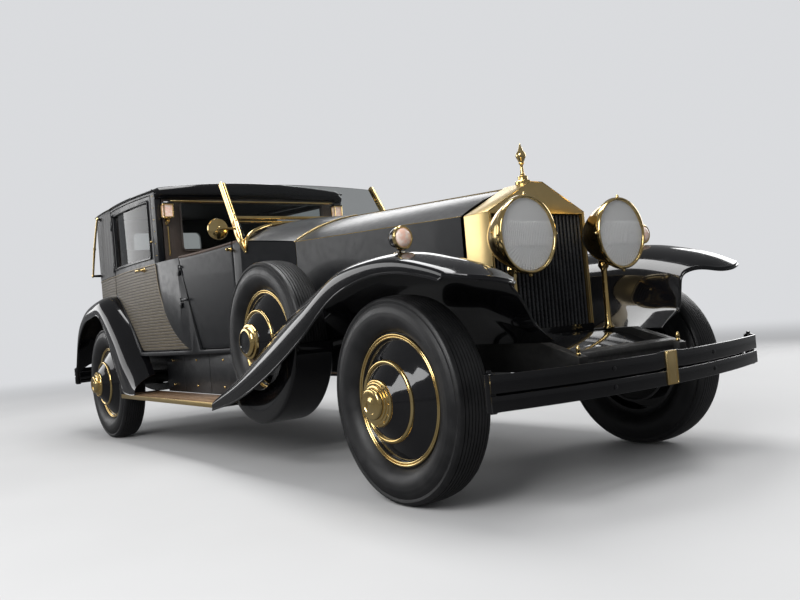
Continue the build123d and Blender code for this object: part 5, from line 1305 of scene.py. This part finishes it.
def mirror_grids(side):
    """A round mirror on an arm that stands out from the screen post."""
    arm_at = post_point(1346.0, side)
    end = arm_at * [1, 0, 1] + [0, side * 696, 0]

    def turn(profile, material):
        return turned(profile, end, (1, 0, 0), material, 56)

    bowl = arc_through((6, 60), (15, 34), (19, 0), np.linspace(0, 1, 12))
    dish = turn(np.concatenate([[(-9, 0), (-9, 57), (-7, 62), (4, 63), (7, 62)], bowl]), GOLD)
    boss = turn([(15, 12), (27, 12), (31, 9), (33, 0)], GOLD)
    face = turn([(-9.4, 0), (-9.4, 55), (-9, 56), (-8.8, 0)], MIRROR)
    return [dish, boss, face] + rod(arm_at + [22, 0, 0], end + [22, 0, 0], 8, circle(6.5, 12), GOLD)


def build_panes():
    """The main pane with its arched top edge, and the two low panes down to the brackets' curve."""
    share_y, share_z = np.linspace(-1, 1, 40)[:, None], np.linspace(0, 1, 12)[None]
    y = share_y * (FOOT_HALF - LEAN * (PANE_LOW + share_z * PANE_HIGH - FOOT_Z) - 11.3)
    z = PANE_LOW + share_z * (PANE_HIGH + 21 * (1 - share_y**2))
    x = FOOT_X - RAKE * (z - FOOT_Z)
    piece("screen_pane", thick(np.stack(np.broadcast_arrays(x, y, z), -1), 5.0, SCREEN), "car",
          ("windscreen_glass",))
    share_y = np.linspace(0.06, 0.97, 30)
    line = smooth_through([0, 290, 478, 548, 568], [1384, 1364, 1328, 1284, 1264], share_y * 568)
    z = between(line, np.full(30, 1386.0), 6)
    y = np.broadcast_to(share_y * 560, z.shape)
    for side, word in SIDES:
        points = np.stack([FOOT_X - RAKE * (z - FOOT_Z), side * y, z], -1)
        piece("screen_low_pane_" + word, thick(points, 4.0, SCREEN), "car")


def scuttle_edge(side):
    """The brown hide roll over the side's top edge, from the door to the cowl."""
    x = np.linspace(218, 292, 12)
    return swept(side_points(x, top_line(x) + 1, -20, side), bar_profile(42, 16, 7, 6), HIDE_SEAT)


# Front end

def build_radiator():
    """The gabled shell, 24 upright slats before a dark core, a fine gold edge and the cap's turned finial."""
    dressed("radiator_shell", GOLD_SATIN, bevel=3.0)
    profile = np.array([(-7.6, -20), (-8.2, -4), (-7.8, 6), (-6.4, 13), (-3.8, 18.5), (0, 21), (3.8, 18.5),
                        (6.4, 13), (7.8, 6), (8.2, -4), (7.6, -20)])
    grids = []
    for y in np.linspace(-286, 286, 24):
        grids += rod((2060, y, 637), (2060, y, 1156), 2, profile, SLAT_GREY, (1, 0, 0))
    for z in (700, 930, 1130):
        grids += rod((2040, -290, z), (2040, 290, z), 12, circle(5, 8), SLAT_GREY)
    grids += block((1990, -292, 636), (2036, 292, 1157), CORE)
    piece("radiator_slats", grids, "car", ("radiator_shutters",), sharp=40)
    edge = np.array([(-306, 640), (-306, 1168), (-40, 1302), (40, 1302), (306, 1168), (306, 640)], float)
    trim = []
    for a, b in zip(edge[:-1], edge[1:]):
        trim += rod((2094, *a), (2094, *b), 8, circle(2.2, 8), GOLD, (1, 0, 0.001))
    piece("radiator_edge", trim, "car")
    finial = [(0, 0), (0, 36), (14, 36), (19, 31), (20, 24), (28, 22), (38, 23), (42, 14), (52, 9), (84, 7),
              (92, 8), (98, 13), (104, 12), (110, 14), (124, 21), (134, 24), (146, 21), (156, 13), (170, 8),
              (184, 4), (194, 0)]
    piece("cap_finial", [turned(finial, (2015, 0, 1302.3), (0, 0, 1), GOLD, 48)], "car",
          ("radiator_finial",))


def build_headlamps():
    """Deep gold bowls with a silvered reflector, a domed fluted lens and a bolted rim."""
    for side, word in SIDES:
        centre = np.array([2313.0, side * 298.0, 1040.0])
        rim = [(-16, 150), (-4, 150), (-1, 152), (1, 156), (-1, 160), (-5, 162), (-20, 163), (-25, 161),
               (-28, 156), (-30, 154)]
        bowl = arc_through((-30, 154), (-128, 112), (-205, 34), np.linspace(0, 1, 24))
        tail = [(-205, 34), (-211, 28), (-215, 14), (-216, 0)]
        dish = arc_through((-16, 150), (-80, 100), (-120, 0), np.linspace(0, 1, 20))
        grids = [turned(profile, centre, (1, 0, 0), material, 96)
                 for profile, material in ((rim, GOLD), (bowl, GOLD), (tail, GOLD), (dish, SILVER))]
        bolts = np.array([[-12, 0, 166], [-12, 0, -166], [-12, 166, 0], [-12, -166, 0]])
        grids.append(domes(centre + bolts, np.sign(bolts) * [0, 1, 1], 7, 9, GOLD, 10))
        post_top = np.array([2195.0, side * 292.0, 905.0])
        pillar = [(-290, 0), (-290, 26), (-284, 27), (-278, 20), (-262, 15), (-40, 12), (-20, 15), (-8, 22),
                  (0, 26), (20, 22), (36, 16), (60, 14), (60, 0)]
        grids.append(turned(pillar, post_top, (0, 0, 1), GOLD, 32))
        grids += rod(post_top + [0, 0, 20], centre + [-150, 0, -80], 4, circle(16, 12), GOLD, (1, 0, 0.1))
        piece("headlamp_" + word, grids, "car", ("headlamps",))
        piece("headlamp_lens_" + word, lens_grids(centre), "car", ("lamp_lenses",), sharp=60)


def lens_grids(centre):
    """A domed lens: height falls with the square of the radius, and upright flutes swell its middle band."""
    full = 149.5
    radius = np.linspace(0, full - 0.5, 90)[:, None]
    angle = np.linspace(0, 2 * np.pi, 280, endpoint=False)[None]
    y, z = radius * np.cos(angle), radius * np.sin(angle)
    dome = 12 * (1 - (radius / full)**2)
    band = 1 / (1 + np.exp((np.abs(z) - 52) / 3))
    flutes = 5.0 * np.abs(np.sin(np.pi * y / 10.0)) * band
    fan = 3.0 * np.abs(np.sin(angle * 28)) * (1 - band) * (radius / full) * (z < 0)
    height = -12 + dome + (flutes + fan) * (radius < 146)
    front = np.stack(np.broadcast_arrays(centre[0] + height, centre[1] + y, centre[2] + z), -1)
    back = np.stack(np.broadcast_arrays(centre[0] - 17.0 + dome * 0.8, centre[1] + y, centre[2] + z), -1)
    return [Grid(sheet, LENS, "v") for sheet in (front, back, np.stack([front[-1], back[-1]]))]


def build_side_lamps():
    """Small lamps on the wings: black shells, thin gold rims, rosy glass and an oval gold foot."""
    for side, word in SIDES:
        centre = np.array([2050.0, side * 768.0, 1060.0])
        shell = np.concatenate([[(24, 46), (18, 45)],
                                arc_through((18, 45), (-18, 35), (-44, 0), np.linspace(0, 1, 18))])
        rim = [(34, 37), (37, 40), (37, 44), (33, 48), (27, 49), (23, 47), (22, 44)]
        glass = [(33, 38), (40, 34), (45, 24), (48, 11), (49, 0)]
        stem = [(-60, 12), (-50, 9), (-44, 9), (-34, 14), (-26, 14)]
        foot = turned([(-66, 30), (-60, 30), (-56, 24), (-54, 12), (-54, 0)], (0, 0, 0), (0, 0, 1), GOLD, 32)
        foot = foot._replace(points=foot.points * [1.25, 0.8, 1] + centre)
        grids = [turned(shell, centre, (1, 0, 0), GLOSS, 48), turned(glass, centre, (1, 0, 0), OPAL, 48),
                 turned(stem, centre, (0, 0, 1), GLOSS, 28), turned(rim, centre, (1, 0, 0), GOLD, 48), foot]
        piece("wing_lamp_" + word, grids, "car", ("fender_lamps",))


BAR_HALF, BOW = 836.0, 125.0  # half the length of the main bars, and how far their ends stand back


def bow_path(face_x, outward, back, half, hump, z):
    """A bar's middle line: an arc in plan through its two ends and the middle, with a small central rise."""
    end_x = face_x - outward * (BOW + back)
    flat = arc_through((end_x, -half), (face_x - outward * back, 0), (end_x, half), np.linspace(0, 1, 81))
    rise = hump * np.exp(-(flat[:, 1] / 60)**4)
    return np.concatenate([flat, (z + rise)[:, None]], 1)


def build_bumper(word, face_x, outward, iron_x, iron_y):
    """Two bowed bars before a third, on two irons, with turned ends and a gold plate in the middle."""
    grids = []
    for back, low, high, half, hump in ((11, 464, 528, BAR_HALF, 6 * (outward > 0)),
                                        (11, 400, 456, BAR_HALF, 0), (61, 436, 496, 812, 0)):
        path = bow_path(face_x, outward, back, half, hump, (low + high) / 2)
        grids += swept(path, bar_profile(10, high - low, 4.0, 5), GLOSS)
    bolt_x = face_x - outward * (BOW * (iron_y / BAR_HALF)**2 + 5)
    post = [(394, 0), (394, 16), (398, 20), (530, 20), (534, 16), (536, 9), (544, 8), (546, 0)]
    for side, _ in SIDES:
        grids.append(turned(post, (face_x - outward * 155, side * 818, 0), (0, 0, 1), GLOSS, 24))
        iron = np.array([[iron_x, 0, 500], [face_x - outward * 190, 0, 500], [face_x - outward * 100, 0, 490]])
        grids += swept(iron + [0, side * iron_y, 0], bar_profile(34, 30, 6), FRAME_BLACK)
        grids.append(domes([(bolt_x, side * iron_y, z) for z in (496, 428)], (outward, 0, 0), 9, 5, GLOSS, 14))
    near, far = sorted((face_x, face_x - outward * 9))
    plate = block((near, -34, 401), (far, 34, 533), GOLD_SATIN)
    edge = bar_profile(60, 124, 7, 5)
    rim = dense(np.stack([np.full(len(edge), face_x - outward * 0.5), edge[:, 0], edge[:, 1] + 467], -1), 3)
    piece(word + "_bars", grids, "car", (word,))
    plate += swept(rim, circle(2.4, 8), GOLD, up=(1, 0.001, 0), closed=True)
    piece(word + "_plate", plate, "car", bevel=3.0)


def build_apron():
    """The black apron between the frame horns: it falls forward from the radiator in a round sweep."""
    half = 294.5
    line = arc_through((2099, 609), (2280, 592), (2440, 528), np.linspace(0, 1, 30))
    y = np.linspace(-half, half, 40)
    z = line[:, 1:] - 1.5 * (np.abs(y) / half)**6
    sheet = np.stack(np.broadcast_arrays(line[:, :1], y, z), -1)
    studs = np.linspace((2125, -270, 608.4), (2125, 270, 608.4), 13)
    flange = block((2096, -300, 606), (2101, 300, 643), GLOSS)
    grids = thick(sheet, 5.0, GLOSS) + flange + [domes(studs, (0.05, 0, 1), 5, 3, GLOSS)]
    piece("front_apron_sheet", grids, "car", ("front_apron",), sharp=60)
    drops = [turned([(0, 0), (0, 9), (6, 10), (10, 6), (17, 8), (25, 9), (34, 6), (41, 0)],
                    (2532, side * RAIL_NOSE_HALF, 546), (0, 0, 1), GOLD, 24) for side in (-1, 1)]
    piece("horn_finials", drops, "car")


# Boards, seats and the rest

BOARD_IN, BOARD_OUT = 608.0, 856.0


def side_block(x, y, z, side, material):
    """A block by its two ends along each axis, its half-widths taken to one side of the car."""
    near, far = sorted((side * y[0], side * y[1]))
    return block((x[0], near, z[0]), (x[1], far, z[1]), material)


def build_boards():
    """Running boards: tan wood strips between gold nosings, and the apron above with its buttons."""
    strips = 8
    pitch = (BOARD_OUT - BOARD_IN) / strips
    for side, word in SIDES:
        grids = []
        for inner in BOARD_IN + pitch * np.arange(strips):
            grids += side_block((-1293, 348), (inner + 1.5, inner + pitch - 1.5), (338, 350), side, WOOD)
        piece("board_strips_" + word, grids, "car", bevel=1.2)
        nose = side_block((-1295, 350), (BOARD_OUT + 0.5, BOARD_OUT + 6), (323, 351.5), side, GOLD_SATIN)
        base = side_block((-1294, 349), (601, BOARD_OUT), (322, 337), side, FRAME_BLACK)
        piece("board_base_" + word, nose + base, "car", ("running_boards",), bevel=1.5)
        panel = side_block((-1015, 310), (600, 608), (352, 614), side, SATIN)
        places = np.array([(x, side * 608.0, z) for x in (-900, -480, -60) for z in (400, 570)])
        buttons = domes(places, (0, side, 0), 9, 7, GOLD, 12)
        seams = sum((rod((x, side * 608.5, 356), (x, side * 608.5, 610), 3, circle(1.4, 6), GLOSS, (1, 0, 0))
                     for x in (-690, -270, 150)), [])
        piece("valance_" + word, panel + [buttons] + seams, "car", bevel=1.0)


SEATS = (  # piece, node, x, half-width, z, pleats, crown, whether the padded side faces forward
    ("front_seat_cushion", "front_seat", (-590, -140), 612, (645, 935), 10, 26, False),
    ("front_seat_back", "front_seat", (-642, -560), 612, (900, 1256), 10, 16, True),
    ("rear_seat_cushion", "rear_seat", (-2200, -1770), 532, (645, 996), 8, 30, False),
    ("rear_seat_back", "rear_seat", (-2380, -2225), 532, (960, 1476), 8, 24, True))


def cushion(x, half_y, z, pleats, crown, upright):
    """A pleated cushion: a rounded box whose padded side swells between its channels.

    The box is a grid over the sphere pushed out by a power of its sines and cosines; each channel sinks
    as a sharp sine and each pleat swells between channels."""
    lat = np.linspace(-np.pi / 2, np.pi / 2, 56)[:, None]
    lon = np.linspace(0, 2 * np.pi, 120, endpoint=False)[None]

    def boxed(value):
        return np.sign(value) * np.abs(value)**0.22

    ux = boxed(np.cos(lat)) * boxed(np.cos(lon))
    uy = boxed(np.cos(lat)) * boxed(np.sin(lon))
    uz = boxed(np.sin(lat)) * np.ones_like(lon)
    cx, cz, hx, hz = (x[0] + x[1]) / 2, (z[0] + z[1]) / 2, (x[1] - x[0]) / 2, (z[1] - z[0]) / 2
    wave = 1 - np.abs(np.sin(np.pi * pleats * (uy + 1) / 2))**0.55
    belly = 1 - 0.5 * uy**4
    py = uy * (half_y - 3)
    if upright:
        front = np.clip(ux, 0, 1)
        swell = crown * (1 - 0.5 * uz**2) * belly - crown - wave * 9
        return Grid(np.stack([cx + ux * hx + swell * front, py, cz + uz * (hz - 3)], -1), HIDE_SEAT, "v")
    top = np.clip(uz, 0, 1)
    swell = crown * (1 - 0.55 * ux**2) * belly - crown - wave * 11 * top**2
    return Grid(np.stack([cx + ux * (hx - 3), py, cz + uz * hz + swell * top], -1), HIDE_SEAT, "v")


def build_seats():
    for name, node, *shape in SEATS:
        made = piece(name, [cushion(*shape)], "car", (node,), sharp=75, weld=0.2)


def build_steering():
    """A four-spoked wheel on its raked column."""
    hub = np.array([-80.0, 330.0, 1225.0])
    foot = np.array([495.0, 330.0, 640.0])
    axis = unit(hub - foot)
    side = np.array([0, 1.0, 0])
    rise = np.cross(axis, side)
    angle = np.linspace(0, 2 * np.pi, 72, endpoint=False)[:, None]
    ring = hub + 211 * (np.cos(angle) * side + np.sin(angle) * rise)
    grids = swept(ring, circle(11, 12), RESIN, up=axis, closed=True)
    for k in range(4):
        turn = math.pi / 4 + k * math.pi / 2
        out = math.cos(turn) * side + math.sin(turn) * rise
        grids += rod(hub + out * 20, hub + out * 205, 8, bar_profile(16, 7, 3), GOLD, axis)
    boss = turned([(-14, 0), (-14, 34), (4, 38), (14, 30), (20, 12), (21, 0)], hub, axis, RESIN, 36)
    column = turned([(0, 0), (0, 18.5), (780, 18.5), (780, 0)], hub - axis * 790, axis, FRAME_BLACK, 24)
    piece("steering_wheel_rim", grids + [boss, column], "car", ("steering_wheel",))


def build_landaus():
    """S-shaped landau irons: black bosses, a bowed gold rod and gold tips."""
    top, low = (np.array([x, float(half_width(x)) + 1, z]) for x, z in ((-2070.0, 1690.0), (-2240.0, 1280.0)))
    path = between(top + [0, 32, 0], low + [0, 74, 0], 30)
    share = np.linspace(0, 1, 30)
    path[:, 0] -= 16 * np.sin(np.pi * share)
    for side, word in SIDES:
        flip = np.array([1, side, 1])
        grids = swept(path * flip, circle(7.5, 12), GOLD, scale=np.interp(share, [0, 0.5, 1], [1, 1.25, 1]))
        grids.append(turned([(-9, 0), (-9, 9), (-5, 12), (5, 12), (9, 9), (9, 0)], path[15] * flip,
                            (path[16] - path[14]) * flip, GOLD, 20))
        for at, reach in ((top, 40), (low, 84)):
            boss = [(0, 0), (0, 18), (5, 18), (9, 10), (reach - 12, 8)]
            tip = [(reach - 12, 8), (reach - 10, 12), (reach - 2, 12), (reach, 8), (reach, 0)]
            grids += [turned(boss, at * flip, (0, side, 0), GLOSS, 20),
                      turned(tip, at * flip, (0, side, 0), GOLD, 20)]
        piece("landau_iron_" + word, grids, "car", ("landau_irons",))


def build_underside():
    """Frame, axles, springs, steering, tank and engine, and the plain panes, in their own shapes."""
    for node, bevel in (("chassis_frame", 3.0), ("front_axle", 3.0), ("rear_axle", 1.5), ("leaf_springs", 1.5),
                        ("knuckle_right", 1.0), ("knuckle_left", 1.0), ("track_rod", 1.0), ("fuel_tank", 1.5),
                        ("engine_block", 8.0)):
        dressed(node, FRAME_BLACK, bevel)
    dressed("cabin_glass", SCREEN, 0.0)
    for node in ("rear_door_glass_right", "rear_door_glass_left"):
        dressed(node, GLASS, 0.0)


# Stage, lights and camera

LAMPS = (  # name, place in metres, width, height, watts
    ("key", (3.5, -5.5, 4.2), 3.5, 3.5, 260),
    ("over", (0.0, 0.0, 6.5), 6.0, 2.4, 300),
    ("fill", (0.5, 6.5, 3.2), 3.0, 3.0, 110),
    ("flank", (-7.2, -5.4, 3.3), 8.0, 3.6, 230),
    ("rim", (-5.4, 3.9, 4.3), 5.0, 1.6, 70))
CAMERA_PLACE = (4.59926, -2.68777, 0.76355)
CAMERA_YAW, CAMERA_PITCH, CAMERA_ROLL = 2.500255724732327, 0.016464113555735377, -0.08481621792266458


def build_floor():
    """A pale round floor that fades into the backdrop, darker where the car mirrors it."""
    ring = np.linspace(0, 2 * np.pi, 96, endpoint=False)
    radius = np.array([0.0, 4000.0, 12000.0, 60000.0])[:, None]
    floor_points = np.stack([radius * np.cos(ring), radius * np.sin(ring), np.zeros((4, 96))], -1)
    material, tree, shader, where = start_material("floor_plain", Specular_IOR_Level=0.2)
    cloud = clouds(tree, where, 0.5, 0.2, 0.8)
    tree.links.new(blend_colour(tree, cloud, (0.60, 0.60, 0.60), (0.64, 0.64, 0.64)), shader.inputs["Base Color"])
    tree.links.new(rough_between(tree, cloud, 0.55, 0.65), shader.inputs["Roughness"])
    reach = node_in(tree, "ShaderNodeVectorMath", {0: where}, operation="LENGTH").outputs["Value"]
    far = ranged(tree, reach, 3.5, 15.0, curve="SMOOTHERSTEP")
    glow = node_in(tree, "ShaderNodeEmission", {"Color": (*BACKDROP, 1), "Strength": 1.0})
    fade = node_in(tree, "ShaderNodeMixShader", {0: far, 1: shader.outputs[0], 2: glow.outputs[0]})
    ray = tree.nodes.new("ShaderNodeLightPath").outputs["Is Glossy Ray"]
    dim = node_in(tree, "ShaderNodeEmission", {"Color": (*BACKDROP, 1), "Strength": 0.05})
    surface = node_in(tree, "ShaderNodeMixShader", {0: sums(tree, "MULTIPLY", ray, 0.82), 1: fade.outputs[0],
                                                    2: dim.outputs[0]})
    tree.links.new(surface.outputs[0], tree.nodes["Material Output"].inputs["Surface"])
    floor = mesh_object("floor", [Grid(floor_points, material, "v")], toward=(0, 0, 1))


def build_world():
    """A world that is pale to the eye and through glass, and dark in reflections."""
    world = bpy.data.worlds.new("soft_studio")
    bpy.context.scene.world = world
    world.use_nodes = True
    tree = world.node_tree
    tree.nodes.clear()
    path = tree.nodes.new("ShaderNodeLightPath")
    direct = sums(tree, "MAXIMUM", path.outputs["Is Camera Ray"], path.outputs["Is Transmission Ray"])
    glossy = sums(tree, "MULTIPLY", path.outputs["Is Glossy Ray"], 0.8)
    plain, pale, dark = (node_in(tree, "ShaderNodeBackground", {"Color": (*BACKDROP, 1), "Strength": strength})
                         for strength in (0.55, 1.0, 0.20))
    light = node_in(tree, "ShaderNodeMixShader", {0: direct, 1: plain.outputs[0], 2: pale.outputs[0]})
    mix = node_in(tree, "ShaderNodeMixShader", {0: glossy, 1: light.outputs[0], 2: dark.outputs[0]})
    out = tree.nodes.new("ShaderNodeOutputWorld")
    tree.links.new(mix.outputs[0], out.inputs["Surface"])


def build_lamps():
    """Five soft lamps that the camera doesn't see, all but the one overhead turned to the car."""
    for name, where_at, wide, high, power in LAMPS:
        lamp = bpy.data.lights.new(name, "AREA")
        lamp.shape, lamp.size, lamp.size_y, lamp.energy = "RECTANGLE", wide, high, power
        made = linked(name, lamp)
        made.location = where_at
        made.visible_camera = False
        made.visible_transmission = False
        to_car = Vector((0.2, 0, 0.7)) - Vector(where_at)
        made.rotation_mode = "QUATERNION"
        made.rotation_quaternion = Quaternion() if name == "over" else to_car.to_track_quat("-Z", "Y")


def build_camera():
    """The photograph's camera, from its place, two turns and a roll."""
    yaw, pitch, roll = CAMERA_YAW, CAMERA_PITCH, CAMERA_ROLL
    forward = np.array([math.cos(pitch) * math.cos(yaw), math.cos(pitch) * math.sin(yaw), math.sin(pitch)])
    right = unit(np.cross(forward, [0, 0, 1.0]))
    up = np.cross(right, forward)
    right, up = (math.cos(roll) * right + math.sin(roll) * up, -math.sin(roll) * right + math.cos(roll) * up)
    data = bpy.data.cameras.new("photo_camera")
    data.sensor_width, data.lens = 36.0, 36.197
    data.clip_start, data.clip_end = 0.05, 200.0
    camera = linked("photo_camera", data)
    turn = np.eye(4)
    turn[:3, 0], turn[:3, 1], turn[:3, 2] = right, up, -forward
    turn[:3, 3] = CAMERA_PLACE
    camera.matrix_world = Matrix(turn.tolist())
    bpy.context.scene.camera = camera


build_wheels()
build_front_wings()
build_rear_wings()
build_bonnet()
build_cowl()
build_front_doors()
build_rear_doors()
build_tub()
build_upper()
build_roof()
build_division()
build_lanterns()
build_screen()
build_radiator()
build_headlamps()
build_side_lamps()
build_bumper("front_bumper", 2720.0, 1, 2555.3, RAIL_NOSE_HALF)
build_bumper("rear_bumper", -2720.0, -1, -2466.3, RAIL_HALF)
build_apron()
build_boards()
build_seats()
build_steering()
build_landaus()
build_underside()
build_floor()
build_world()
build_lamps()
build_camera()
bpy.context.scene.view_settings.view_transform = "Standard"
